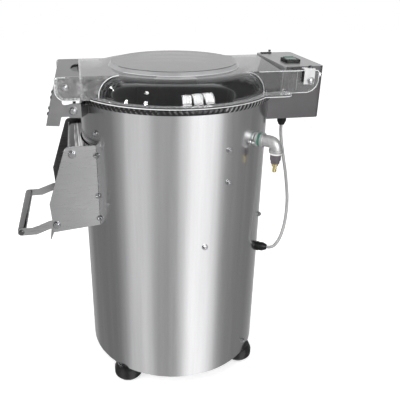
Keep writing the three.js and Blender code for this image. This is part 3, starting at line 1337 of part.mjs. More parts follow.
function makeDriveFrame() {
  const outline = roundedRectangle([PLATE_LEFT, PLATE_RIGHT], [-PLATE_HALF_WIDTH, PLATE_HALF_WIDTH], PLATE_CORNER);
  const plate = prism(outline, PLATE_BOTTOM, plateTop);
  const pillars = PILLARS.map(([x, y]) =>
    cylinder(PILLAR_RADIUS, PLATE_BOTTOM, FLOOR_BOTTOM - FIT_GAP, SMALL_STEPS).translate(x, y, 0),
  );
  const through = (radius) => cylinder(radius, PLATE_BOTTOM - OVERRUN, plateTop + OVERRUN);
  return cut(
    join(plate, ...pillars),
    through(SHAFT_WINDOW_RADIUS),
    through(MOTOR_PILOT_RADIUS).translate(MOTOR_OFFSET, 0, 0),
  );
}

function makeMotor() {
  const low = plateTop + FIT_GAP;
  const coverLow = MOTOR_TOP - MOTOR_FAN_COVER;
  const bore = ROTOR_RADIUS + FIT_GAP;
  const body = lathe([
    [0, ROTOR_TOP + FIT_GAP],
    [bore, ROTOR_TOP + FIT_GAP],
    [bore, low],
    [MOTOR_FLANGE_RADIUS, low],
    [MOTOR_FLANGE_RADIUS, low + MOTOR_FLANGE],
    [MOTOR_RADIUS - FIN_DEPTH, low + MOTOR_FLANGE],
    [MOTOR_RADIUS - FIN_DEPTH, coverLow],
    [MOTOR_RADIUS, coverLow],
    [MOTOR_RADIUS, MOTOR_TOP - MOTOR_NECK],
    [MOTOR_RADIUS - MOTOR_NECK, MOTOR_TOP],
    [0, MOTOR_TOP],
  ], ROUND_STEPS);
  const fins = Array.from({ length: MOTOR_FINS }, (_, i) => {
    const fin = block(
      [MOTOR_RADIUS - 2 * FIN_DEPTH, MOTOR_RADIUS],
      [-FIN_THICKNESS / 2, FIN_THICKNESS / 2],
      [low + MOTOR_FLANGE / 2, coverLow + MOTOR_NECK],
    );
    return fin.rotateZ((2 * HALF_TURN * i) / MOTOR_FINS);
  });
  const terminals = block(
    [-TERMINAL_HALF, TERMINAL_HALF],
    [-MOTOR_RADIUS - TERMINAL_DEPTH, -MOTOR_RADIUS / 2],
    [TERMINAL_BOTTOM, TERMINAL_TOP],
  );
  return toGeometry(join(body, ...fins, terminals)).translate(MOTOR_OFFSET, 0, 0);
}

// A grooved rim on a thin web and a hub; small pulleys are solid between groove and bore.
function pulleyProfile(radius, bore) {
  const [low, high] = [PULLEY_BOTTOM, PULLEY_BOTTOM + PULLEY_WIDTH];
  const open = BELT_TOP_HALF + FIT_GAP;
  const root = open - GROOVE_DEPTH * BELT_TAPER_SHARE;
  const groove = [
    [radius, beltMiddle - open],
    [radius - GROOVE_DEPTH, beltMiddle - root],
    [radius - GROOVE_DEPTH, beltMiddle + root],
    [radius, beltMiddle + open],
  ];
  const rimInside = radius - GROOVE_DEPTH - PULLEY_RIM;
  const solid = rimInside < PULLEY_HUB_RADIUS;
  const dish = (height, side) => [
    [PULLEY_HUB_RADIUS, height],
    [PULLEY_HUB_RADIUS, beltMiddle + (side * PULLEY_WEB) / 2],
    [rimInside, beltMiddle + (side * PULLEY_WEB) / 2],
    [rimInside, height],
  ];
  const lower = solid ? [] : dish(low, -1);
  const upper = solid ? [] : dish(high, 1).reverse();
  return [[bore, low], ...lower, [radius, low], ...groove, [radius, high], ...upper, [bore, high]];
}

function makeDrivenPulley() {
  const wheel = lathe(pulleyProfile(DRIVEN_RADIUS, SHAFT_RADIUS + FIT_GAP), ROUND_STEPS);
  const middle = (PULLEY_HUB_RADIUS + DRIVEN_RADIUS - GROOVE_DEPTH - PULLEY_RIM) / 2;
  const holes = Array.from({ length: PULLEY_HOLES }, (_, i) => {
    const hole = cylinder(PULLEY_HOLE_RADIUS, PULLEY_BOTTOM, PULLEY_BOTTOM + PULLEY_WIDTH, SMALL_STEPS);
    return atAngle(hole, (360 * i) / PULLEY_HOLES, middle);
  });
  return cut(toSolid(wheel), ...holes);
}

// The belt's centre line: an arc round each pulley and the two straight runs that touch both.
function beltStations() {
  const drop = BELT_HEIGHT / 2;
  const [big, small] = [DRIVEN_RADIUS - drop, DRIVER_RADIUS - drop];
  const touch = Math.acos((big - small) / MOTOR_OFFSET);
  const arc = (centre, radius, from, to) =>
    Array.from({ length: BELT_STEPS + 1 }, (_, i) => {
      const angle = from + ((to - from) * i) / BELT_STEPS;
      return { x: centre + radius * Math.cos(angle), y: radius * Math.sin(angle), angle };
    });
  return [...arc(0, big, touch, 2 * HALF_TURN - touch), ...arc(MOTOR_OFFSET, small, -touch, touch)];
}

function makeBelt() {
  const half = BELT_HEIGHT / 2;
  const bottomHalf = BELT_TOP_HALF - BELT_HEIGHT * BELT_TAPER_SHARE;
  const section = [[-half, -bottomHalf], [half, -BELT_TOP_HALF], [half, BELT_TOP_HALF], [-half, bottomHalf]];
  const stations = beltStations();
  const places = stations.flatMap(({ x, y, angle }) =>
    section.flatMap(([out, up]) => [x + out * Math.cos(angle), y + out * Math.sin(angle), beltMiddle + up]),
  );
  const sides = section.length;
  const faces = stations.flatMap((_, i) => {
    const next = (i + 1) % stations.length;
    return section.flatMap((__, j) => {
      const beside = (j + 1) % sides;
      const [a, b, c, d] = [i * sides + j, next * sides + j, next * sides + beside, i * sides + beside];
      return [a, b, c, a, c, d];
    });
  });
  const belt = new THREE.BufferGeometry();
  belt.setAttribute("position", new THREE.Float32BufferAttribute(places, 3));
  belt.setIndex(faces);
  return toSolid(belt);
}

function makeCapacitor() {
  const low = plateTop + FIT_GAP;
  const high = low + CAPACITOR_HEIGHT;
  const can = lathe([
    [0, low],
    [CAPACITOR_RADIUS, low],
    [CAPACITOR_RADIUS, high - CAPACITOR_EDGE],
    [CAPACITOR_RADIUS - CAPACITOR_EDGE, high],
    [0, high],
  ], SMALL_STEPS);
  return can.translate(CAPACITOR.x, CAPACITOR.y, 0);
}

const rotorPiece = (geometry) => geometry.translate(MOTOR_OFFSET, 0, 0);

addPiece("main_shaft", makeShaft(PULLEY_BOTTOM), MACHINED_STEEL);
addPiece("driven_pulley", makeDrivenPulley(), PAINTED_CASTING);
addPiece("drive_frame", makeDriveFrame(), STAINLESS);
addPiece("motor_body", makeMotor(), PAINTED_CASTING);
addPiece("run_capacitor", makeCapacitor(), ALUMINIUM);
addPiece("drive_belt", makeBelt(), BLACK_RUBBER);
addPiece("motor_shaft", rotorPiece(cylinder(ROTOR_RADIUS, ROTOR_BOTTOM, ROTOR_TOP)), MACHINED_STEEL);
addPiece(
  "motor_pulley",
  rotorPiece(lathe(pulleyProfile(DRIVER_RADIUS, ROTOR_RADIUS + FIT_GAP))),
  PAINTED_CASTING,
);

// The part's own origin is the middle of its outline on the floor, the lead left out.
const outline = new THREE.Box3();
peeler.children.filter((mesh) => mesh.name !== "motor_lead").forEach((mesh) => outline.expandByObject(mesh));
const middle = outline.getCenter(new THREE.Vector3());
peeler.position.set(-middle.x, -middle.y, -outline.min.z);

export default peeler;
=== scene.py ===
import json
import math

import bmesh
import bpy
from mathutils import Matrix, Vector


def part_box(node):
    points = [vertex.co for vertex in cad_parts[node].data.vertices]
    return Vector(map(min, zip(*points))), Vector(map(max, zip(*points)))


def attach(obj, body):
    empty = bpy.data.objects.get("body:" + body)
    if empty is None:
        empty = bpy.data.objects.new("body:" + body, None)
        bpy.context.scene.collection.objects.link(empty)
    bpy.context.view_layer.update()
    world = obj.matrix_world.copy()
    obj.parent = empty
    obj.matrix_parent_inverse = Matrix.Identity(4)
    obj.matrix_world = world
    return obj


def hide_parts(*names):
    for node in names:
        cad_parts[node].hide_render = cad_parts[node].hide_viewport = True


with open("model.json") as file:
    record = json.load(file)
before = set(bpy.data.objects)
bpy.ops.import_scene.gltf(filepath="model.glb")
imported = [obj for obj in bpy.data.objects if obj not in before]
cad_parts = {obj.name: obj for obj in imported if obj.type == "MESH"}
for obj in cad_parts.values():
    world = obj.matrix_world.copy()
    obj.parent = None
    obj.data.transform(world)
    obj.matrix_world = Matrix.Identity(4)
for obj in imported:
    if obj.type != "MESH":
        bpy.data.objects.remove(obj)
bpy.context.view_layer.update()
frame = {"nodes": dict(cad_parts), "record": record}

NODES = frame["nodes"]
BODIES = frame["record"]["behaviour"]["bodies"]
BODY_OF_NODE = {node_name: body for body, names in BODIES.items() for node_name in names}
MM = 0.001

# The frame's origin is under the middle of the object's box, and the drum's axis stands here in it
AXIS = Vector((0.0206, -0.0175, 0))



def at(x, y, z):
    """A place given in millimetres from the drum's axis and the floor, in the frame's metres."""
    return AXIS + Vector((x, y, z)) * MM


def box_of(node_name):
    """The two corners of a node's box, in millimetres from the drum's axis and the floor."""
    return [(Vector(corner) - AXIS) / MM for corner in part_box(node_name)]


# Sizes that several sections share, in millimetres from the drum's axis and the floor. The lines of painted
# highlight along the lid's sheet lie a little lower than its faces.
DRUM_RADIUS = 200
LID_BOTTOM = box_of("lid_cover")[0].z
LID_SHEET = 4
ABOVE_FLANGE = 659
DECK_TOP = 700
EAR_FACE = -111
LINE_DROP = 0.3

# Camera: fitted to the photograph
CAMERA_PLACE = (-194.6, -1103.6, 892.4)
CAMERA_AZIMUTH = math.radians(-10)
CAMERA_TILT = 0.42411
CAMERA_ROLL = 0.0047
CAMERA_REACH = 50
FOCAL_PIXELS = 525.5
PRINCIPAL_X = 172.98
PICTURE = 400
SENSOR = 36


def make_camera():
    data = bpy.data.cameras.new("camera")
    data.sensor_width = SENSOR
    data.lens = FOCAL_PIXELS / PICTURE * SENSOR
    data.shift_x = (PICTURE / 2 - PRINCIPAL_X) / PICTURE
    data.clip_end = CAMERA_REACH
    camera = bpy.data.objects.new("camera", data)
    bpy.context.scene.collection.objects.link(camera)
    camera.matrix_world = (
        Matrix.Translation(at(*CAMERA_PLACE))
        @ Matrix.Rotation(CAMERA_AZIMUTH, 4, "Z")
        @ Matrix.Rotation(math.pi / 2 - CAMERA_TILT, 4, "X")
        @ Matrix.Rotation(CAMERA_ROLL, 4, "Z")
    )
    bpy.context.scene.camera = camera


make_camera()
bpy.context.scene.view_settings.view_transform = "Standard"


# Shader nodes
NOISE_ENDS = (0.25, 0.75)
EVEN = (1, 1, 1)


def node(tree, kind, values=None, **settings):
    """A new shader node with its settings, and a value or a link for each input that values names."""
    made = tree.nodes.new(f"ShaderNode{kind}")
    for key, setting in settings.items():
        setattr(made, key, setting)
    for key, value in (values or {}).items():
        if isinstance(value, bpy.types.NodeSocket):
            tree.links.new(value, made.inputs[key])
        else:
            made.inputs[key].default_value = value
    return made


def reckon(tree, operation, *values):
    return node(tree, "Math", dict(enumerate(values)), operation=operation).outputs[0]


def mix(tree, share, first, second):
    return node(tree, "MixShader", {0: share, 1: first, 2: second}).outputs[0]


def ramp(tree, factor, stops, interpolation="LINEAR"):
    """Colours along a factor, from stops that are pairs of a position and a colour."""
    made = node(tree, "ValToRGB", {0: factor})
    made.color_ramp.interpolation = interpolation
    elements = made.color_ramp.elements
    for index, (position, colour) in enumerate(stops):
        element = elements[index] if index < 2 else elements.new(position)
        element.position = position
        element.color = (*colour, 1)
    return made.outputs[0]


def noise(tree, scale, stretch=EVEN, detail=3.0, roughness=0.55):
    place = node(tree, "TexCoord").outputs["Object"]
    mapping = node(tree, "Mapping", {"Vector": place, "Scale": stretch})
    values = {"Vector": mapping.outputs[0], "Scale": scale, "Detail": detail, "Roughness": roughness}
    return node(tree, "TexNoise", values).outputs["Fac"]


def fade(tree, factor, ends, goals=(0, 1), interpolation="LINEAR"):
    """Maps the factor from its two ends to the two goals."""
    values = {0: factor, "From Min": ends[0], "From Max": ends[1], "To Min": goals[0], "To Max": goals[1]}
    return node(tree, "MapRange", values, interpolation_type=interpolation).outputs[0]


def spread(tree, factor, low, high):
    """Stretches the noise, which seldom leaves the middle of its range, over low to high."""
    return fade(tree, factor, NOISE_ENDS, (low, high))


def around(tree, factor, middle, swing):
    """Lets the noise swing about a middle by a share of it."""
    return spread(tree, factor, middle * (1 - swing), middle * (1 + swing))


def bump(tree, shader, height, strength, distance):
    bumped = node(tree, "Bump", {"Height": height, "Strength": strength, "Distance": distance})
    tree.links.new(bumped.outputs[0], shader.inputs["Normal"])


def start(name):
    material = bpy.data.materials.new(name)
    material.use_nodes = True
    tree = material.node_tree
    tree.nodes.clear()
    shader = node(tree, "BsdfPrincipled")
    node(tree, "OutputMaterial", {"Surface": shader.outputs[0]})
    return material, tree, shader


# Materials: depths are in metres, and the ends of a fade are levels of the noise or shares of a height
CLOUD_ENDS = (0.3, 0.7)
STREAK_ENDS = (0.54, 0.66)
RIM_ENDS = (0.42, 0.62)
METAL_SWING = 0.18
PLASTIC_SWING = 0.15
STREAK_SWING = 0.1
METAL_DEPTH = 0.00003
SHEET_DEPTH = 0.0001
RIM_ROUGH = (0.15, 0.3)
RIM_GRAIN = 200
RIM_STRENGTH = 0.2
STREAK_STRENGTH = 0.1
PLASTIC_CLOUD = 22
HAZE_RISE = 1.05
CLEAR_IOR = 1.5


def colours(tree, factor, low, high, ends=CLOUD_ENDS):
    return ramp(tree, factor, zip(ends, (low, high)))


def metal(name, tone, rough, grain=EVEN, grain_scale=400, variation=0.06, strength=0.15, cloud_scale=9,
          cloud_stretch=EVEN, metallic=1.0):
    """Sheet or turned metal: a fine grain in its bump and roughness, and a faint cloudy tone."""
    material, tree, shader = start(name)
    cloud = noise(tree, cloud_scale, cloud_stretch)
    low = tuple(max(0.0, level * (1 - variation)) for level in tone)
    high = tuple(min(1.0, level * (1 + variation)) for level in tone)
    tree.links.new(colours(tree, cloud, low, high), shader.inputs["Base Color"])
    grains = noise(tree, grain_scale, grain, detail=2)
    tree.links.new(around(tree, grains, rough, METAL_SWING), shader.inputs["Roughness"])
    shader.inputs["Metallic"].default_value = metallic
    bump(tree, shader, grains, strength, METAL_DEPTH)
    return material


def plastic(name, low, high, rough, grain=300, strength=0.1, depth=0.00004, coat=0.0, specular=0.5):
    """Moulded plastic, rubber or paint: a close tone with a fine surface texture."""
    material, tree, shader = start(name)
    cloud = noise(tree, PLASTIC_CLOUD, detail=4)
    tree.links.new(colours(tree, cloud, low, high), shader.inputs["Base Color"])
    skin = noise(tree, grain)
    tree.links.new(around(tree, skin, rough, PLASTIC_SWING), shader.inputs["Roughness"])
    shader.inputs["Coat Weight"].default_value = coat
    shader.inputs["Specular IOR Level"].default_value = specular
    bump(tree, shader, skin, strength, depth)
    return material


def painted_reflection_streaks(name, dark, light, rough, scale, stretch):
    """Polished sheet with painted reflections: streaks of dark and light in its colour stand for a dark room
    that it mirrors.
    """
    material, tree, shader = start(name)
    streaks = noise(tree, scale, stretch, detail=3.5, roughness=0.6)
    tree.links.new(colours(tree, streaks, dark, light, STREAK_ENDS), shader.inputs["Base Color"])
    tree.links.new(around(tree, streaks, rough, STREAK_SWING), shader.inputs["Roughness"])
    shader.inputs["Metallic"].default_value = 1.0
    bump(tree, shader, streaks, STREAK_STRENGTH, SHEET_DEPTH)
    return material


def painted_light_rim(name, bright, dark, low, high):
    """The cut rim of a clear sheet, with a painted highlight below and painted shade above, by height."""
    material, tree, shader = start(name)
    parts = node(tree, "SeparateXYZ", {0: node(tree, "TexCoord").outputs["Object"]})
    share = fade(tree, parts.outputs["Z"], (low * MM, high * MM))
    tree.links.new(colours(tree, share, bright, dark, RIM_ENDS), shader.inputs["Base Color"])
    skin = noise(tree, RIM_GRAIN)
    tree.links.new(spread(tree, skin, *RIM_ROUGH), shader.inputs["Roughness"])
    bump(tree, shader, skin, RIM_STRENGTH, SHEET_DEPTH)
    return material


def clear(name, haze, haze_tone, tint, rough, grain=30, swing=0.1):
    """Clear sheet: what lies behind shows through a haze, and a gloss that grows where it is seen aslant."""
    material, tree, shader = start(name)
    cloud = noise(tree, grain, detail=4)
    brighter = tuple(min(1, level * HAZE_RISE) for level in haze_tone)
    tree.links.new(colours(tree, cloud, haze_tone, brighter), shader.inputs["Base Color"])
    shader.inputs["Roughness"].default_value = rough
    shader.inputs["IOR"].default_value = CLEAR_IOR
    see = node(tree, "BsdfTransparent", {"Color": (*tint, 1)})
    gloss = node(tree, "BsdfGlossy", {"Roughness": rough, "Color": (1, 1, 1, 1)})
    fresnel = node(tree, "Fresnel", {"IOR": CLEAR_IOR})
    shine = mix(tree, fresnel.outputs[0], see.outputs[0], gloss.outputs[0])
    milk = mix(tree, around(tree, cloud, haze, swing), shine, shader.outputs[0])
    tree.links.new(milk, tree.get_output_node("ALL").inputs["Surface"])
    return material


def grey(level):
    return (level, level, level)


# Grain directions: the noise is drawn out along the axis whose number is small
ALONG_X = (0.05, 1, 1)
ALONG_Y = (1, 0.05, 1)
COARSE_ALONG_Y = (1, 0.1, 1)
UPRIGHT = (1, 1, 0.03)
UPRIGHT_CLOUDS = (1, 1, 0.04)
ROUND_AND_ROUND = (1, 1, 8)
STREAKS_ALONG_Y = (1, 0.02, 0.3)

LOOKS = {
    "drum": metal("drum_steel", (0.76, 0.76, 0.77), rough=0.2, grain=UPRIGHT, grain_scale=600,
                  variation=0.09, cloud_scale=34, cloud_stretch=UPRIGHT_CLOUDS),
    "sheet": metal("sheet_steel", (0.5, 0.5, 0.505), rough=0.3, grain=ALONG_X, grain_scale=500,
                   strength=0.25),
    "bracket": metal("bracket_steel", (0.29, 0.29, 0.294), rough=0.34, grain=ALONG_X, grain_scale=500),
    # Painted shade: a darker copy of the sheet steel, for the inner side of the rear cheek and the slants of
    # the hinge tabs
    "shade": metal("shaded_steel", (0.17, 0.17, 0.172), rough=0.3, grain=ALONG_X, grain_scale=500,
                   variation=0.12, strength=0.2),
    # Painted reflections: dark and light streaks for the door's flange
    "hood": painted_reflection_streaks("door_steel_painted_reflections", (0.012, 0.012, 0.013), grey(0.9), rough=0.14, scale=170,
                     stretch=STREAKS_ALONG_Y),
    "grip": metal("grip_steel", (0.2, 0.2, 0.204), rough=0.2, grain=ALONG_Y, grain_scale=300, variation=0.1),
    "box": metal("box_steel", (0.56, 0.56, 0.565), rough=0.36, grain=ALONG_X, grain_scale=500, strength=0.3),
    # Painted shade and light: the box's front is a darker copy of the box steel, and its upper left wall a
    # duller copy that reads lighter
    "box_front": metal("box_front_painted_shade", (0.115, 0.112, 0.115), rough=0.38, grain=ALONG_X, grain_scale=500,
                       variation=0.1, strength=0.3),
    "box_side": metal("box_side_painted_light", (0.42, 0.42, 0.425), rough=0.5, grain=ALONG_X, grain_scale=500,
                      variation=0.1, strength=0.2, metallic=0.3),
    "screw": metal("bright_steel", (0.5, 0.5, 0.51), rough=0.28, grain_scale=900, variation=0.1),
    "dark_screw": metal("dark_steel", (0.12, 0.12, 0.125), rough=0.3, grain_scale=900, variation=0.2),
    "turned": metal("turned_steel", (0.4, 0.4, 0.41), rough=0.26, grain_scale=700),
    "cast": plastic("grey_enamel", (0.1, 0.11, 0.12), (0.14, 0.15, 0.16), rough=0.5, grain=120, strength=0.4,
                    depth=0.0003),
    "aluminium": metal("plain_aluminium", (0.8, 0.8, 0.81), rough=0.5, grain=COARSE_ALONG_Y),
    "rubber": plastic("black_rubber", grey(0.008), grey(0.014), rough=0.42, grain=260, strength=0.25,
                      specular=0.3),
    "foot": plastic("foot_rubber", grey(0.008), grey(0.014), rough=0.2, grain=160, strength=0.12),
    "plastic": plastic("black_plastic", (0.008, 0.008, 0.009), (0.014, 0.014, 0.015), rough=0.4, grain=500,
                       strength=0.2, specular=0.18),
    # Painted sheen on the crests of the seal's ribs
    "rib": plastic("rubber_painted_sheen", grey(0.16), grey(0.42), rough=0.32, grain=90, strength=0.25),
    "white": plastic("white_lacquer", grey(0.68), grey(0.74), rough=0.4),
    "grit": plastic("abrasive_grit", grey(0.03), (0.075, 0.07, 0.066), rough=0.9, grain=700, strength=0.9,
                    depth=0.0008),
    "green": plastic("green_cap", (0.012, 0.075, 0.055), (0.018, 0.1, 0.075), rough=0.16, grain=200,
                     strength=0.05, coat=0.5),
    "washer": plastic("green_fibre", (0.012, 0.2, 0.13), (0.02, 0.26, 0.17), rough=0.5, strength=0.3),
    "pvc": plastic("brown_grey_pvc", (0.085, 0.075, 0.08), (0.125, 0.11, 0.118), rough=0.42, grain=250,
                   strength=0.2),
    "resin": plastic("mottled_resin", grey(0.05), grey(0.6), rough=0.3, grain=200, strength=0.5),
    "tape": plastic("white_tape", (0.86, 0.86, 0.85), (0.95, 0.95, 0.94), rough=0.6, grain=500,
                    strength=0.4),
    # Painted highlight, for the bright lines along the lid's edges and bends
    "edge": plastic("clear_edge_painted_highlight", (0.74, 0.76, 0.76), (0.96, 0.97, 0.97), rough=0.12, grain=160,
                    strength=0.3),
    # Painted shade, for the dark line along the raised disc's upper edge
    "cut": plastic("clear_edge_painted_shade", grey(0.05), grey(0.09), rough=0.2, grain=160, strength=0.3,
                   specular=0.2),
    "cord": plastic("grey_sheath", grey(0.36), grey(0.43), rough=0.45, strength=0.2),
    "zinc": metal("galvanised", grey(0.4), rough=0.5, grain_scale=260, variation=0.2, strength=0.9,
                  cloud_scale=70, metallic=0.55),
    "brass": metal("turned_brass", (0.7, 0.6, 0.28), rough=0.24, grain=ROUND_AND_ROUND, grain_scale=500,
                   variation=0.1),
    "film": clear("clear_deck", haze=0.22, haze_tone=(0.72, 0.72, 0.73), tint=(0.62, 0.62, 0.63),
                  rough=0.06),
    "film_shade": clear("clear_deck_shade", haze=0.1, haze_tone=grey(0.35), tint=grey(0.22), rough=0.06),
    "wall": clear("clear_wall", haze=0.15, haze_tone=grey(0.44), tint=(0.64, 0.64, 0.65), rough=0.05),
    "ear": clear("clear_ear", haze=0.24, haze_tone=grey(0.66), tint=grey(0.72), rough=0.08, grain=90,
                 swing=0.7),
    # Painted glints: a haze in patches on the left ear's rippled rim
    "sparkle": clear("rippled_rim", haze=0.4, haze_tone=(0.85, 0.86, 0.86), tint=grey(0.8), rough=0.08,
                     grain=300, swing=0.98),
    # Painted highlight: a denser haze on the slant round the raised disc and on the deck's front strip
    "shoulder": clear("clear_shoulder", haze=0.55, haze_tone=(0.62, 0.62, 0.63), tint=grey(0.7), rough=0.1,
                      grain=12, swing=0.25),
    # A real haze on the flange, in patches that are painted glints
    "flange": clear("clear_flange", haze=0.38, haze_tone=(0.72, 0.73, 0.73), tint=grey(0.72), rough=0.1,
                    grain=260, swing=0.6),
    # Painted highlight below and painted shade above on the flange's cut rim
    "rim": painted_light_rim("flange_rim_painted_light", (0.85, 0.86, 0.86), grey(0.05), low=LID_BOTTOM - LINE_DROP,
                     high=LID_BOTTOM - LINE_DROP + LID_SHEET),
    "dome": clear("clear_dome", haze=0.015, haze_tone=grey(0.5), tint=(0.9, 0.91, 0.91), rough=0.03),
}

NODE_LOOKS = {
    "drum": ["drum_body"],
    "sheet": ["chute_frame", "chute_door", "latch_arm_front", "latch_arm_rear", "base_ring",
              "chamber_floor", "drive_frame", "drain_elbow"],
    "bracket": ["lid_bracket", "hinge_tab_front", "hinge_tab_rear"],
    "grip": ["latch_grip"],
    "box": ["control_box", "box_bottom_plate"],
    "turned": ["door_pivot_front", "door_pivot_rear", "latch_pivot_front", "latch_pivot_rear",
               "lid_pivot_front", "lid_pivot_rear", "disc_cap", "main_shaft", "motor_shaft", "lower_bearing",
               "upper_bearing"],
    "cast": ["bearing_housing", "driven_pulley", "motor_body", "motor_pulley"],
    "aluminium": ["run_capacitor"],
    "white": ["interlock_angle"],
    "rubber": ["rim_seal", "lid_bumper_front", "lid_bumper_rear", "lid_rest_strip", "shaft_seal",
               "drive_belt"],
    "foot": ["foot_front_left", "foot_front_right", "foot_rear_left", "foot_rear_right"],
    "plastic": ["interlock_magnet", "switch_frame", "contactor", "interlock_sensor", "box_gland",
                "mains_gland", "drum_gland"],
    "grit": ["abrasive_liner", "abrasive_disc"],
    "green": ["switch_rocker"],
    "washer": ["inlet_washer"],
    "pvc": ["inlet_reducer"],
    "cord": ["motor_lead"],
    "zinc": ["inlet_nipple", "inlet_elbow"],
    "brass": ["hose_tail"],
    "film": ["lid_cover"],
    "dome": ["interlock_case"],
}
LOOK_OF_NODE = {node_name: look for look, names in NODE_LOOKS.items() for node_name in names}

for node_name, look in LOOK_OF_NODE.items():
    for material_slot in NODES[node_name].material_slots:
        material_slot.material = LOOKS[look]


# Pieces: each one rides on a body and stands in the slot of its look
TUBE_FINENESS = 3
CORD_FINENESS = 6
CORD_STEPS = 4
LATHE_START = 0.3


def add_piece(name, data, look, body):
    data.materials.append(LOOKS[look])
    piece = bpy.data.objects.new(name, data)
    bpy.context.scene.collection.objects.link(piece)
    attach(piece, body)
    return piece


def tube_data(name, radius, fineness):
    data = bpy.data.curves.new(name, "CURVE")
    data.dimensions = "3D"
    data.bevel_depth = radius
    data.bevel_resolution = fineness
    data.use_fill_caps = True
    return data


def curved_tube(name, places, radius, look, body):
    data = tube_data(name, radius, CORD_FINENESS)
    data.resolution_u = CORD_STEPS
    spline = data.splines.new("BEZIER")
    spline.bezier_points.add(len(places) - 1)
    for place, knot in zip(places, spline.bezier_points):
        knot.co = place
        knot.handle_left_type = knot.handle_right_type = "AUTO"
    return add_piece(name, data, look, body)


def painted_line(name, points, radius, look="edge"):
    """A thin bar along points in drum terms: a painted line, bright for a highlight and dark for shade,
    along an edge or a bend of the lid.
    """
    data = tube_data(name, radius * MM, TUBE_FINENESS)
    spline = data.splines.new("POLY")
    spline.points.add(len(points) - 1)
    for point, knot in zip(points, spline.points):
        knot.co = (*at(*point), 1)
    add_piece(name, data, look, "lid")


def mesh_from(name, work, sharp=None, smooth=True):
    """Turns the bmesh into a mesh, smooth except at edges that bend by more than the angle sharp."""
    mesh = bpy.data.meshes.new(f"{name}_form")
    work.to_mesh(mesh)
    work.free()
    if smooth:
        mesh.shade_smooth()
    if sharp:
        mesh.set_sharp_from_angle(angle=sharp)
    return mesh


def skin_rings(work, rings, closed=False):
    """Quads from each ring of vertices to the next, and from the last to the first where closed."""
    after_rings = rings[1:] + rings[:1] if closed else rings[1:]
    for here, there in zip(rings, after_rings):
        for index in range(len(here)):
            after = (index + 1) % len(here)
            work.faces.new((here[index], there[index], there[after], here[after]))


def lathe(work, profile, place, outward, sides):
    """A turned or many-sided solid from (radius, rise) pairs in millimetres, standing on place."""
    turn = outward.to_track_quat("Z", "Y").to_matrix()
    rings = []
    for radius, rise in profile:
        ring = []
        for step in range(sides):
            angle = LATHE_START + 2 * math.pi * step / sides
            spot = Vector((radius * math.cos(angle), radius * math.sin(angle), rise))
            ring.append(work.verts.new(place + turn @ spot * MM))
        rings.append(ring)
    skin_rings(work, rings[::-1])
    work.faces.new(rings[0][::-1])
    work.faces.new(rings[-1])


# Cord: the lead from the switch box to the motor inside the drum
CORD_RADIUS = 0.0035
CORD_POINTS = 36
CORD_SUBSTEPS = 24
GLAND_ANGLE = math.radians(-26)


def by_gland(radius, z):
    return (radius * math.cos(GLAND_ANGLE), radius * math.sin(GLAND_ANGLE), z)


ROUTE = [
    (236, -34, 567.7), (236, -34.5, 556), (236.5, -41, 535), (240, -48.5, 506), (247, -54, 468),
    (251.5, -58.5, 436), (253.5, -66, 404), (252, -73, 373), (246, -82, 343), (236.5, -91, 320),
    (225, -98.5, 306), (214.5, -102, 299), by_gland(228.1, 297), by_gland(224.6, 297),
]


def smooth_path(points, count):
    """Places spaced evenly along a Catmull-Rom curve through the points, and the curve's length."""
    points = [Vector(point) for point in points]
    ends = [2 * points[0] - points[1], *points, 2 * points[-1] - points[-2]]
    fine = []
    for index in range(1, len(ends) - 2):
        a, b, c, d = ends[index - 1:index + 3]
        for step in range(CORD_SUBSTEPS):
            t = step / CORD_SUBSTEPS
            fine.append(0.5 * (2 * b + (c - a) * t + (2 * a - 5 * b + 4 * c - d) * t ** 2
                               + (3 * b - a - 3 * c + d) * t ** 3))
    fine.append(points[-1])
    lengths = [0.0]
    for first, second in zip(fine, fine[1:]):
        lengths.append(lengths[-1] + (second - first).length)
    path, place = [], 0
    for index in range(count):
        goal = lengths[-1] * index / (count - 1)
        while place < len(fine) - 2 and lengths[place + 1] < goal:
            place += 1
        share = (goal - lengths[place]) / (lengths[place + 1] - lengths[place])
        path.append(fine[place].lerp(fine[place + 1], min(1, share)))
    return path, lengths[-1]


path, length = smooth_path([at(*point) for point in ROUTE], CORD_POINTS)
lead = curved_tube("motor_lead_sheath", path, CORD_RADIUS, "cord", "frame")
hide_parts("motor_lead")

# Rounded copies: each shown solid gets its facets smoothed and its sharp edges broken
SMOOTH_ANGLE = math.radians(32)
FLAT_ANGLE = math.radians(0.6)
SAME_PLACE = 1e-6
EDGE_SEGMENTS = 2
LID_EDGE = 1.0

# Width of the broken edge in millimetres, and the nodes that get it
EDGES = {
    0.5: ["chute_frame", "chute_door", "lid_bracket", "hinge_tab_front", "hinge_tab_rear", "latch_arm_front",
          "latch_arm_rear", "control_box", "interlock_angle", "switch_frame", "interlock_magnet"],
    0.8: ["door_pivot_front", "door_pivot_rear", "latch_pivot_front", "latch_pivot_rear", "inlet_elbow",
          "inlet_nipple", "inlet_reducer", "inlet_washer", "box_gland", "mains_gland", "drum_gland",
          "drain_elbow", "disc_cap", "latch_grip", "switch_rocker"],
    0.4: ["drum_body", "hose_tail", "interlock_case", "lid_rest_strip", "lid_pivot_front", "lid_pivot_rear"],
    1.2: ["foot_front_left", "foot_front_right", "foot_rear_left", "foot_rear_right", "abrasive_disc",
          "abrasive_liner"],
}


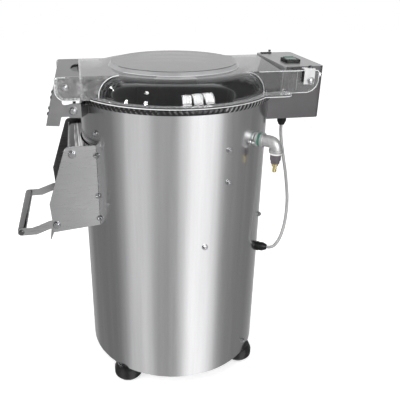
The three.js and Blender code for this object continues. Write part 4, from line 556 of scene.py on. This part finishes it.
def rounded_copy(node_name, edge):
    mesh = NODES[node_name].data.copy()
    mesh.name = f"{node_name}_form"
    mesh.materials.clear()
    work = bmesh.new()
    work.from_mesh(mesh)
    bmesh.ops.remove_doubles(work, verts=work.verts, dist=SAME_PLACE)
    bmesh.ops.dissolve_limit(work, angle_limit=FLAT_ANGLE, verts=work.verts, edges=work.edges)
    work.to_mesh(mesh)
    work.free()
    if mesh.has_custom_normals:
        mesh.attributes.remove(mesh.attributes["custom_normal"])
    mesh.shade_smooth()
    mesh.set_sharp_from_angle(angle=SMOOTH_ANGLE)
    piece = add_piece(f"{node_name}_finish", mesh, LOOK_OF_NODE[node_name], BODY_OF_NODE[node_name])
    bevel = piece.modifiers.new("edge", "BEVEL")
    bevel.width = edge * MM
    bevel.segments = EDGE_SEGMENTS
    bevel.limit_method = "ANGLE"
    bevel.angle_limit = SMOOTH_ANGLE
    bevel.harden_normals = True
    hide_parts(node_name)
    return piece


def repaint(piece, look, chosen):
    """Gives a second look to the faces that chosen picks by their middle, in drum terms, and normal."""
    piece.data.materials.append(LOOKS[look])
    index = len(piece.data.materials) - 1
    for face in piece.data.polygons:
        if chosen((face.center - AXIS) / MM, face.normal):
            face.material_index = index


finished = {node_name: rounded_copy(node_name, edge) for edge, names in EDGES.items() for node_name in names}

# Least part of a face's normal along an axis for the face to look that way, from loosely to squarely
FACING = 0.3
SLANTED = 0.4
LEVEL = 0.7
SQUARE = 0.9

# Second looks of the sheet parts, each with the test that picks its faces
CHEEK_INSIDE = 110
BOX_STEP = 655
TAB_BEND = -196


def inside_rear_cheek(middle, normal):
    return middle.y > CHEEK_INSIDE and normal.y < -FACING


def on_door_flange(middle, normal):
    return normal.z > LEVEL


def on_box_front(middle, normal):
    return normal.y < -FACING


def above_box_step(middle, normal):
    return normal.x < -FACING and middle.z > BOX_STEP


def past_tab_bend(middle, normal):
    return middle.x > TAB_BEND


SECOND_LOOKS = [
    # Painted shade on the inner side of the rear cheek
    ("chute_frame", "shade", inside_rear_cheek),
    # Painted reflections on the door's flange
    ("chute_door", "hood", on_door_flange),
    # Painted shade on the box's front, and painted light on its upper left wall
    ("control_box", "box_front", on_box_front),
    ("control_box", "box_side", above_box_step),
    # Painted shade on the slants of the hinge tabs
    ("hinge_tab_front", "shade", past_tab_bend),
    ("hinge_tab_rear", "shade", past_tab_bend),
]
for node_name, look, chosen in SECOND_LOOKS:
    repaint(finished[node_name], look, chosen)

# The white angle is a little narrower than its solid
ANGLE_MIDDLE = 256
ANGLE_LEFT_TRIM = 1.5
ANGLE_RIGHT_TRIM = 4.5


def trim_angle():
    for vertex in finished["interlock_angle"].data.vertices:
        left_end = (vertex.co - AXIS).x / MM < ANGLE_MIDDLE
        vertex.co.x += (ANGLE_LEFT_TRIM if left_end else -ANGLE_RIGHT_TRIM) * MM


trim_angle()

# The bracket's scoop for a finger is longer and shallower than the round notch of the solid
SCOOP_X = -197
SCOOP_RADIUS = 20
SCOOP_SLACK = 0.6
SCOOP_LOWEST = 690
SCOOP_MIDDLE = -17
SCOOP_DEPTH = 16
SCOOP_HALF = 45.6


def stretch_scoop():
    for vertex in finished["lid_bracket"].data.vertices:
        spot = (vertex.co - AXIS) / MM
        away = math.hypot(spot.x - SCOOP_X, spot.y)
        if abs(away - SCOOP_RADIUS) < SCOOP_SLACK and spot.z > SCOOP_LOWEST:
            x = SCOOP_X + (spot.x - SCOOP_X) * SCOOP_DEPTH / SCOOP_RADIUS
            y = SCOOP_MIDDLE + spot.y * SCOOP_HALF / SCOOP_RADIUS
            vertex.co = at(x, y, spot.z)


stretch_scoop()

# A pressed dish closes the scoop from below
DISH_RIM = 696.8
DISH_DEPTH = 7
DISH_SHEET = 0.8
DISH_CLEARANCE = 0.5
DISH_RINGS = 7
DISH_STEPS = 20


def make_dish():
    work = bmesh.new()
    rings = []
    for ring in range(1, DISH_RINGS + 1):
        share = ring / DISH_RINGS
        row = []
        for step in range(DISH_STEPS + 1):
            angle = math.pi * (0.5 + step / DISH_STEPS)
            x = SCOOP_X - DISH_CLEARANCE + (SCOOP_DEPTH + DISH_CLEARANCE) * share * math.cos(angle)
            y = SCOOP_MIDDLE + SCOOP_HALF * share * math.sin(angle)
            row.append(work.verts.new(at(x, y, DISH_RIM - DISH_DEPTH * (1 - share ** 2))))
        rings.append(row)
    middle = work.verts.new(at(SCOOP_X - DISH_CLEARANCE, SCOOP_MIDDLE, DISH_RIM - DISH_DEPTH))
    for step in range(DISH_STEPS):
        work.faces.new((middle, rings[0][step], rings[0][step + 1]))
        for inner, outer in zip(rings, rings[1:]):
            work.faces.new((inner[step], outer[step], outer[step + 1], inner[step + 1]))
    bmesh.ops.recalc_face_normals(work, faces=work.faces)
    dish = add_piece("scoop_dish", mesh_from("scoop_dish", work), "bracket", "lid")
    sheet = dish.modifiers.new("sheet", "SOLIDIFY")
    sheet.thickness = DISH_SHEET * MM
    sheet.offset = -1


make_dish()

# Lid: a clear dome and a hazy deck, with painted shade on the deck over the switch box. The reaches say how
# far before the dome's front bend the painted highlight on the slant round the disc ends, and the painted
# highlight on the deck's front strip starts.
DOME_FRONT = -112.5
DOME_REAR = 93.5
DISC_REACH = 26
STRIP_REACH = 10
DECK_PLANE = 0.6
FLANGE_RIM = 209.5
EAR_START = (-200, 212)
BOX_WALL = 218
SHADE_LINE = ((147, -106), (218, 74))
lid = rounded_copy("lid_cover", LID_EDGE)


def in_deck(middle, normal):
    return normal.z > SQUARE and abs(middle.z - DECK_TOP) < DECK_PLANE


def past_line(place):
    """To the right of the line from which the deck gets painted shade over the switch box."""
    (x, y), (far_x, far_y) = SHADE_LINE
    return (far_y - y) * (place.x - x) - (far_x - x) * (place.y - y) > 0


def over_box(middle, normal):
    return in_deck(middle, normal) and past_line(middle) and middle.x < BOX_WALL


def past_bends(middle, normal):
    """Above the flange, and in front of the dome's front bend or behind its rear one."""
    return middle.z > ABOVE_FLANGE and not DOME_FRONT < middle.y < DOME_REAR


def in_side_walls(middle, normal):
    return middle.z > ABOVE_FLANGE and abs(normal.y) > SQUARE and DOME_FRONT <= middle.y <= DOME_REAR


def in_ears(middle, normal):
    return abs(normal.y) > SQUARE and not EAR_START[0] < middle.x < EAR_START[1]


def in_shoulder(middle, normal):
    """The slant round the raised disc, and the strip of deck before it, which get a painted highlight as a
    denser haze.
    """
    slant = SLANTED < normal.z < SQUARE and middle.z > DECK_TOP
    strip = in_deck(middle, normal) and middle.y < DOME_FRONT - STRIP_REACH
    return strip or (slant and middle.y > DOME_FRONT - DISC_REACH)


def in_flange(middle, normal):
    return normal.z > SQUARE and middle.z < ABOVE_FLANGE


def in_rim(middle, normal):
    upright = abs(normal.z) < SLANTED
    return upright and middle.z < ABOVE_FLANGE and math.hypot(middle.x, middle.y) > FLANGE_RIM


def split_deck():
    """Cuts the deck's top faces where the painted shade over the switch box begins."""
    work = bmesh.new()
    work.from_mesh(lid.data)
    (x, y), (far_x, far_y) = SHADE_LINE
    for place, across in (((x, y), (far_y - y, x - far_x, 0)), ((BOX_WALL, 0), (1, 0, 0))):
        faces = []
        for face in work.faces:
            if in_deck((face.calc_center_median() - AXIS) / MM, face.normal):
                faces.append(face)
        edges = list({edge for face in faces for edge in face.edges})
        verts = list({vert for face in faces for vert in face.verts})
        bmesh.ops.bisect_plane(work, geom=faces + edges + verts, plane_co=at(*place, 0), plane_no=across)
    work.to_mesh(lid.data)
    work.free()


split_deck()
LID_LOOKS = {
    "film_shade": over_box,
    "dome": past_bends,
    "wall": in_side_walls,
    "ear": in_ears,
    "shoulder": in_shoulder,
    "flange": in_flange,
    "rim": in_rim,
}
for look, chosen in LID_LOOKS.items():
    repaint(lid, look, chosen)

# Painted highlights along the cut edges of the lid's two ears
BEND_STEPS = 8
EAR_INSET = 0.9
EAR_TOP_CORNER = 7
EARS = {
    "left": {"side": -1, "reach": 244, "top_start": 222, "foot_end": 198, "foot_corner": 20},
    "right": {"side": 1, "reach": 276, "top_start": 150, "foot_end": 216, "foot_corner": 26},
}
EAR_EDGES = {"left": 0.8, "right": 0.65}
LINE_TOP = DECK_TOP - LINE_DROP
LINE_FOOT = LID_BOTTOM - LINE_DROP


def corner(x, z, start_angle, radius):
    """Points of a quarter round in the ear's plane, about its centre."""
    points = []
    for step in range(BEND_STEPS + 1):
        angle = math.radians(start_angle + 90 * step / BEND_STEPS)
        points.append((x + radius * math.cos(angle), z + radius * math.sin(angle)))
    return points


def ear_outline(side, reach, top_start, foot_end, foot_corner, inset):
    """From the deck along the ear's top, down its end and back along its foot, in the plane of its face."""
    top, foot = LINE_TOP - inset, LINE_FOOT + inset
    far = reach - inset
    upper, lower = EAR_TOP_CORNER - inset, foot_corner - inset
    points = [(top_start, top)]
    points += reversed(corner(far - upper, top - upper, 0, upper))
    points += reversed(corner(far - lower, foot + lower, 270, lower))
    points.append((foot_end, foot))
    return [(side * x, z) for x, z in points]


for name, ear in EARS.items():
    outline = [(x, EAR_FACE, z) for x, z in ear_outline(**ear, inset=EAR_INSET)]
    painted_line(f"ear_edge_{name}", outline, EAR_EDGES[name])

# Painted highlights along the bends where the dome's ends rise from the flange to the deck
DOME_BASE_RADIUS = 197
DOME_TOP_RADIUS = 165
DOME_BEND = 88
ARC_STEPS = 18
DOME_EDGES = {"left": (-1, 1.0), "right": (1, 0.45)}
for name, (side, thickness) in DOME_EDGES.items():
    arc = []
    for step in range(ARC_STEPS + 1):
        turn = math.radians(DOME_BEND * step / ARC_STEPS)
        radius = DOME_TOP_RADIUS + (DOME_BASE_RADIUS - DOME_TOP_RADIUS) * math.cos(turn)
        x = math.sqrt(radius ** 2 - EAR_FACE ** 2)
        arc.append((side * x, EAR_FACE, ABOVE_FLANGE + (LINE_TOP - ABOVE_FLANGE) * math.sin(turn)))
    painted_line(f"dome_edge_{name}", arc, thickness)

# Painted lines along the front of the raised disc, a dark one for shade on its upper edge and a highlight on
# the bend
# at its foot: radius, height, thickness, look, and first and last degrees
DISC_LINES = {
    "disc_upper_edge": (131.5, 707.1, 0.5, "cut", 205, 335),
    "disc_foot_bend": (137.2, 699.9, 0.5, "edge", 215, 325),
}
DISC_LINE_STEPS = 48
for name, (radius, z, thickness, look, first, last) in DISC_LINES.items():
    arc = []
    for step in range(DISC_LINE_STEPS + 1):
        angle = math.radians(first + (last - first) * step / DISC_LINE_STEPS)
        arc.append((radius * math.cos(angle), radius * math.sin(angle), z))
    painted_line(name, arc, thickness, look)

# Painted highlights along the upright edges of the interlock's clear case
CASE_PROUD = 0.2
CASE_EDGE = 0.8
CASE_INSET = 1
case_low, case_high = box_of("interlock_case")
for name, x in (("left", case_low.x + CASE_INSET), ("right", case_high.x - CASE_INSET)):
    ends = (case_low.z + CASE_INSET, case_high.z - CASE_INSET)
    painted_line(f"case_edge_{name}", [(x, case_low.y - CASE_PROUD, z) for z in ends], CASE_EDGE)

# The block of the interlock in its clear case, and the black pad beside the white angle
BLOCK_SEGMENTS = 3
BLOCKS = {
    "interlock_insert": {"middle": (210.5, -97, 676), "size": (13, 10, 32), "edge": 1.5, "look": "resin"},
    "angle_pad": {"middle": (241, -112.3, 687.5), "size": (4.2, 1.8, 21), "edge": 0.5, "look": "plastic"},
}


def rounded_block(name, middle, size, edge, look):
    work = bmesh.new()
    bmesh.ops.create_cube(work, size=1)
    for vertex in work.verts:
        shares = vertex.co.copy()
        vertex.co = at(*(centre + width * share for centre, width, share in zip(middle, size, shares)))
    bmesh.ops.bevel(work, geom=work.edges, offset=edge * MM, segments=BLOCK_SEGMENTS, affect="EDGES")
    add_piece(name, mesh_from(name, work), look, "lid")


for name, block in BLOCKS.items():
    rounded_block(name, **block)

# The left ear is rippled along its end, as thick sheet is where it was drawn round a corner
RIPPLE_OUTER = 0.4
RIPPLE_WIDTH = 6.5
RIPPLE_PROUD = 0.3
RIPPLE_START = 1


def make_ripple():
    ear = dict(EARS["left"])
    ear["top_start"] = ear["reach"] - EAR_TOP_CORNER - RIPPLE_START
    outer = ear_outline(**ear, inset=RIPPLE_OUTER)
    inner = ear_outline(**ear, inset=RIPPLE_WIDTH)
    front, back = EAR_FACE - RIPPLE_PROUD, EAR_FACE + RIPPLE_PROUD
    work = bmesh.new()
    rings = []
    for (outer_x, outer_z), (inner_x, inner_z) in zip(outer, inner):
        spots = ((outer_x, front, outer_z), (inner_x, front, inner_z), (inner_x, back, inner_z),
                 (outer_x, back, outer_z))
        rings.append([work.verts.new(at(*spot)) for spot in spots])
    skin_rings(work, rings)
    work.faces.new(rings[0])
    work.faces.new(rings[-1][::-1])
    bmesh.ops.recalc_face_normals(work, faces=work.faces)
    # The rippled rim's haze paints glints
    add_piece("ear_ripple", mesh_from("ear_ripple", work, smooth=False), "sparkle", "lid")


make_ripple()

# Seal: a ribbed rubber ring that caps the drum's edge, as (radius, height) pairs
SEAL_PROFILE = [
    (200.3, 646.1), (200.3, 643), (207, 643.2), (208.8, 644.6), (209.1, 646.4), (209.1, 648.4),
    (208.9, 650.4), (208.4, 652.2), (206.8, 653.5), (194, 653.7), (191.6, 652.4), (191.4, 647),
    (192.2, 646.1),
]
SEAL_TOP = 653
SEAL_RIBS = 128
SEAL_SMOOTH_ANGLE = math.radians(60)
RIB_STEPS = 10
RIB_DEPTH = 1.1
RIB_LEAN = 0.25
RIB_PITCH = 3
RIB_INNER = 207.5
RIB_FOOT = SEAL_PROFILE[3][1]

# Levels of a rib's wave above which its crest gets a painted sheen, lower on the right so that more crests
# shine there, and the cosine below which the front stays plain
LEFT_CREST = 0.96
RIGHT_CREST = 0.5
PLAIN_FRONT = 0.3


def rib_wave(angle, z):
    """The ribs lean away from the front on both sides."""
    lean = math.copysign(RIB_LEAN, math.cos(angle))
    return math.cos(SEAL_RIBS * angle - lean * 2 * math.pi * (z - RIB_FOOT) / RIB_PITCH)


def on_crest(middle, normal):
    angle = math.atan2(middle.y, middle.x)
    outside = math.hypot(middle.x, middle.y) > RIB_INNER - RIB_DEPTH and middle.z < SEAL_TOP
    crest = LEFT_CREST if middle.x < 0 else RIGHT_CREST
    return outside and abs(math.cos(angle)) > PLAIN_FRONT and rib_wave(angle, middle.z) > crest


def make_seal():
    work = bmesh.new()
    steps = SEAL_RIBS * RIB_STEPS
    rings = []
    for step in range(steps):
        angle = 2 * math.pi * step / steps
        ring = []
        for radius, z in SEAL_PROFILE:
            if radius > RIB_INNER:
                radius -= RIB_DEPTH * (0.5 - 0.5 * rib_wave(angle, z))
            ring.append(work.verts.new(at(radius * math.cos(angle), radius * math.sin(angle), z)))
        rings.append(ring)
    skin_rings(work, rings, closed=True)
    bmesh.ops.recalc_face_normals(work, faces=work.faces)
    seal = add_piece("rim_seal_finish", mesh_from("rim_seal", work, SEAL_SMOOTH_ANGLE), "rubber", "frame")
    # The crests of the ribs get a painted sheen
    repaint(seal, "rib", on_crest)
    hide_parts("rim_seal")


make_seal()

# Fasteners: profiles are (radius, rise) pairs in millimetres from the surface that carries them
HEX_SIDES = 6
ROUND_SIDES = 20
WASHER = [(6.1, 0), (6.4, 0.3), (6.4, 1.0), (6.1, 1.3)]
NUT = [(4.2, 1.3), (4.9, 1.7), (4.9, 4.4), (4.3, 4.9)]
STUD = [(2.5, 4.9), (2.5, 6.4), (1.9, 7)]
PAN_HEAD = [(4.9, 1.3), (5, 2.2), (4.4, 3.5), (3.2, 4.3), (2.1, 4.5), (1.9, 3.1)]
TALL_HEAD = [(3, 1.3), (3, 5), (4.8, 5.4), (4.8, 7.4), (4.2, 8)]
PARTS_OF_KIND = {
    "nut": [(WASHER, ROUND_SIDES), (NUT, HEX_SIDES), (STUD, ROUND_SIDES)],
    "screw": [(WASHER, ROUND_SIDES), (PAN_HEAD, ROUND_SIDES)],
    "tall": [(WASHER, ROUND_SIDES), (TALL_HEAD, ROUND_SIDES)],
}
FORWARD = Vector((0, -1, 0))
UPWARD = Vector((0, 0, 1))
BRACKET_OUTWARD = Vector((-0.96, 0, 0.27))

# Each nut on the drum by its degrees round the axis and its height
DRUM_NUTS = [
    (-149.5, 587), (-149.7, 541), (-150, 453), (-149.9, 402), (-67.6, 567), (-67.1, 500), (-49.5, 569.5),
    (-27.9, 381.5), (-81, 367), (-43, 68),
]

# Each single fastener: kind, body, place, the way that it faces, look and scale
SINGLE_FASTENERS = {
    "box_screw": ("screw", "frame", (295.3, -71, 682), FORWARD, "screw", 0.8),
    "rest_strip_screw": ("tall", "frame", (247, 106, 702), UPWARD, "dark_screw", 0.7),
    "ear_screw": ("screw", "lid", (-224, EAR_FACE, 681), FORWARD, "screw", 1.0),
    "angle_screw": ("screw", "lid", (257.5, -113.5, 678.8), FORWARD, "screw", 1.2),
    "angle_top_screw": ("screw", "lid", (260, -100, 702.2), UPWARD, "dark_screw", 0.95),
}
BRACKET_SCREWS = [(-247.5, 671), (-250.2, 661), (-255.8, 641), (-258.9, 630)]
BRACKET_SCREW_ROW = -100
BRACKET_SCREW_SCALE = 0.6
PIVOT_NUT_SCALE = 0.8


def fasteners(name, kind, body, places, look="screw", scale=1.0):
    """One mesh of like fasteners, each a washer with a nut on its stud or with a screw's head."""
    work = bmesh.new()
    for place, outward in places:
        for profile, sides in PARTS_OF_KIND[kind]:
            lathe(work, [(radius * scale, rise * scale) for radius, rise in profile], place, outward, sides)
    add_piece(name, mesh_from(name, work, SMOOTH_ANGLE), look, body)


def on_drum(degrees, z):
    angle = math.radians(degrees)
    outward = Vector((math.cos(angle), math.sin(angle), 0))
    return at(DRUM_RADIUS * outward.x, DRUM_RADIUS * outward.y, z), outward


def front_of(node_name):
    """The middle of the front face of a node's box."""
    low, high = box_of(node_name)
    return at((low.x + high.x) / 2, low.y, (low.z + high.z) / 2)


fasteners("drum_nuts", "nut", "frame", [on_drum(*spot) for spot in DRUM_NUTS])
for name, (kind, body, place, outward, look, scale) in SINGLE_FASTENERS.items():
    fasteners(name, kind, body, [(at(*place), outward)], look, scale)
bracket_places = [(at(x, BRACKET_SCREW_ROW, z), BRACKET_OUTWARD) for x, z in BRACKET_SCREWS]
fasteners("bracket_nuts", "screw", "lid", bracket_places, "dark_screw", BRACKET_SCREW_SCALE)
fasteners("lid_pivot_nut", "nut", "frame", [(front_of("lid_pivot_front"), FORWARD)], scale=PIVOT_NUT_SCALE)

# Inlet: the hose tail is slimmer than its solid, and white sealing tape shows between elbow and reducer
INLET_ANGLE = math.radians(-43)
ELBOW_AXIS = 242.6
TAIL_SLIMNESS = 0.74
TAPE = [(11.2, 0), (12.2, 0.5), (12.2, 3.3), (11.2, 3.8)]
TAPE_BOTTOM = 546.9
TAPE_SIDES = 32


def on_inlet(z):
    return at(ELBOW_AXIS * math.cos(INLET_ANGLE), ELBOW_AXIS * math.sin(INLET_ANGLE), z)


def slim_tail():
    middle = on_inlet(0)
    for vertex in finished["hose_tail"].data.vertices:
        vertex.co.x = middle.x + (vertex.co.x - middle.x) * TAIL_SLIMNESS
        vertex.co.y = middle.y + (vertex.co.y - middle.y) * TAIL_SLIMNESS


def wind_tape():
    work = bmesh.new()
    lathe(work, TAPE, on_inlet(TAPE_BOTTOM), UPWARD, TAPE_SIDES)
    add_piece("sealing_tape", mesh_from("sealing_tape", work, SMOOTH_ANGLE), "tape", "frame")


slim_tail()
wind_tape()

# Stage: floor, surround and lamps
FLOOR_SIZE = 12
FLOOR_TONE = 0.85
FLOOR_GLOW = 0.6


def make_floor():
    mesh = bpy.data.meshes.new("floor")
    half = FLOOR_SIZE / 2
    corners = [(-half, -half, 0), (half, -half, 0), (half, half, 0), (-half, half, 0)]
    mesh.from_pydata(corners, [], [range(len(corners))])
    floor = bpy.data.objects.new("floor", mesh)
    bpy.context.scene.collection.objects.link(floor)
    material, tree, shader = start("pale_floor")
    shader.inputs["Base Color"].default_value = (*grey(FLOOR_TONE), 1)
    shader.inputs["Roughness"].default_value = 1
    shader.inputs["Specular IOR Level"].default_value = 0
    shader.inputs["Emission Color"].default_value = (1, 1, 1, 1)
    seen = node(tree, "LightPath").outputs["Is Camera Ray"]
    tree.links.new(reckon(tree, "MULTIPLY", seen, FLOOR_GLOW), shader.inputs["Emission Strength"])
    mesh.materials.append(material)
    floor.visible_glossy = False


make_floor()

# Brightness of the surround by degrees to the right of the camera, as large panels give it in a studio
PANELS = [
    (-180, 0.5), (-150, 0.4), (-128, 0.2), (-82, 0.19), (-70, 0.3), (-54, 0.66), (-41, 0.74), (-32, 0.66),
    (-20, 0.4), (3, 0.39), (12, 0.75), (20, 1.12), (46, 1.15), (56, 0.85), (64, 0.4), (76, 0.25), (120, 0.2),
    (140, 0.3), (165, 0.6), (180, 0.5),
]

# A panel behind the object, which the flat tops mirror, and the fade from the panels to the ceiling
REAR_PANEL = (0.17, 0.97, 0.17)
REAR_LEVEL = 0.7
REAR_FADE = (0.35, 0.9)
CEILING_LEVEL = 0.12
CEILING_FADE = (-0.14, -0.02)
SOFT_LEVEL = 0.55
SEEN_LEVEL = 1.0


def background(tree, colour, strength=1.0):
    return node(tree, "Background", {"Color": colour, "Strength": strength}).outputs[0]


def make_world():
    """White to the camera, an even light on dull surfaces, and panels that only glossy ones mirror."""
    world = bpy.data.worlds.new("surround")
    bpy.context.scene.world = world
    world.use_nodes = True
    tree = world.node_tree
    tree.nodes.clear()
    direction = node(tree, "TexCoord").outputs["Generated"]
    parts = node(tree, "SeparateXYZ", {0: direction}).outputs

    backward = reckon(tree, "MULTIPLY", parts["Y"], -1)
    angle = reckon(tree, "ARCTAN2", parts["X"], backward)
    from_camera = reckon(tree, "SUBTRACT", angle, CAMERA_AZIMUTH)
    share = reckon(tree, "MULTIPLY_ADD", from_camera, 1 / (2 * math.pi), 0.5)
    stops = [((degrees + 180) / 360, grey(level)) for degrees, level in PANELS]
    panels = ramp(tree, reckon(tree, "FRACT", share), stops, "EASE")

    height = fade(tree, parts["Z"], CEILING_FADE, interpolation="SMOOTHSTEP")
    towards = node(tree, "VectorMath", {0: direction, 1: REAR_PANEL}, operation="DOT_PRODUCT")
    ceiling = fade(tree, towards.outputs["Value"], REAR_FADE, (CEILING_LEVEL, REAR_LEVEL), "SMOOTHSTEP")
    sky = node(tree, "Mix", {0: height, 6: panels, 7: ceiling}, data_type="RGBA")

    light_path = node(tree, "LightPath").outputs
    white = (1, 1, 1, 1)
    lit = mix(tree, light_path["Is Glossy Ray"], background(tree, white, SOFT_LEVEL),
              background(tree, sky.outputs[2]))
    shown = mix(tree, light_path["Is Camera Ray"], lit, background(tree, white, SEEN_LEVEL))
    node(tree, "OutputWorld", {"Surface": shown})


make_world()

# Lamps: places in metres, and power in watts
LID_MIDDLE = Vector((0.02, -0.15, 0.69))
OBJECT_MIDDLE = (0, 0, 0.4)
WINDOW = Vector((0.62, -1.88, 1.3))
WINDOW_ALONG = Vector((0.9, 0.43, 0))
WINDOW_HEIGHT = 1.1
WINDOW_WIDTH = 1.3
PANE_WIDTH = 0.38
PANE_OFFSETS = (-0.46, 0.0, 0.46)
PANE_POWER = 18
WINDOW_POWER = 12
SPOTS = [(-0.887, 0.117, 0.447), (-0.584, -0.513, 0.63), (-0.922, -0.386, 0.03), (-0.683, -0.729, 0.054)]
SPOT_DISTANCE = 2
SPOT_SIZE = 0.14
SPOT_POWER = 2.4
SOFT_LAMPS = {
    "top_lamp": ((0.0, -0.3, 2.6), (1.8, 1.8), 16),
    "left_lamp": ((-1.9, -1.3, 1.6), (1.0, 1.2), 12),
}


def add_lamp(name, place, target, size, power, shows=True, lights=True):
    """A rectangular lamp that the camera doesn't see, shown in gloss and lighting dull surfaces as asked."""
    data = bpy.data.lights.new(name, "AREA")
    data.shape = "RECTANGLE"
    data.size, data.size_y = size
    data.energy = power
    lamp = bpy.data.objects.new(name, data)
    bpy.context.scene.collection.objects.link(lamp)
    lamp.location = place
    lamp.rotation_euler = (Vector(target) - Vector(place)).to_track_quat("-Z", "Y").to_euler()
    lamp.visible_camera = False
    lamp.visible_glossy = shows
    lamp.visible_diffuse = lights


# The window to the right of the camera is mirrored as three panes, and its light comes from one lamp
for index, offset in enumerate(PANE_OFFSETS):
    pane = WINDOW + WINDOW_ALONG * offset
    add_lamp(f"window_{index}", pane, LID_MIDDLE, (PANE_WIDTH, WINDOW_HEIGHT), PANE_POWER, lights=False)
add_lamp("window_light", WINDOW, LID_MIDDLE, (WINDOW_WIDTH, WINDOW_HEIGHT), WINDOW_POWER, shows=False)
for index, direction in enumerate(SPOTS):
    place = LID_MIDDLE + Vector(direction) * SPOT_DISTANCE
    add_lamp(f"spot_{index}", place, LID_MIDDLE, (SPOT_SIZE, SPOT_SIZE), SPOT_POWER)
for name, (place, size, power) in SOFT_LAMPS.items():
    add_lamp(name, place, OBJECT_MIDDLE, size, power, shows=False)
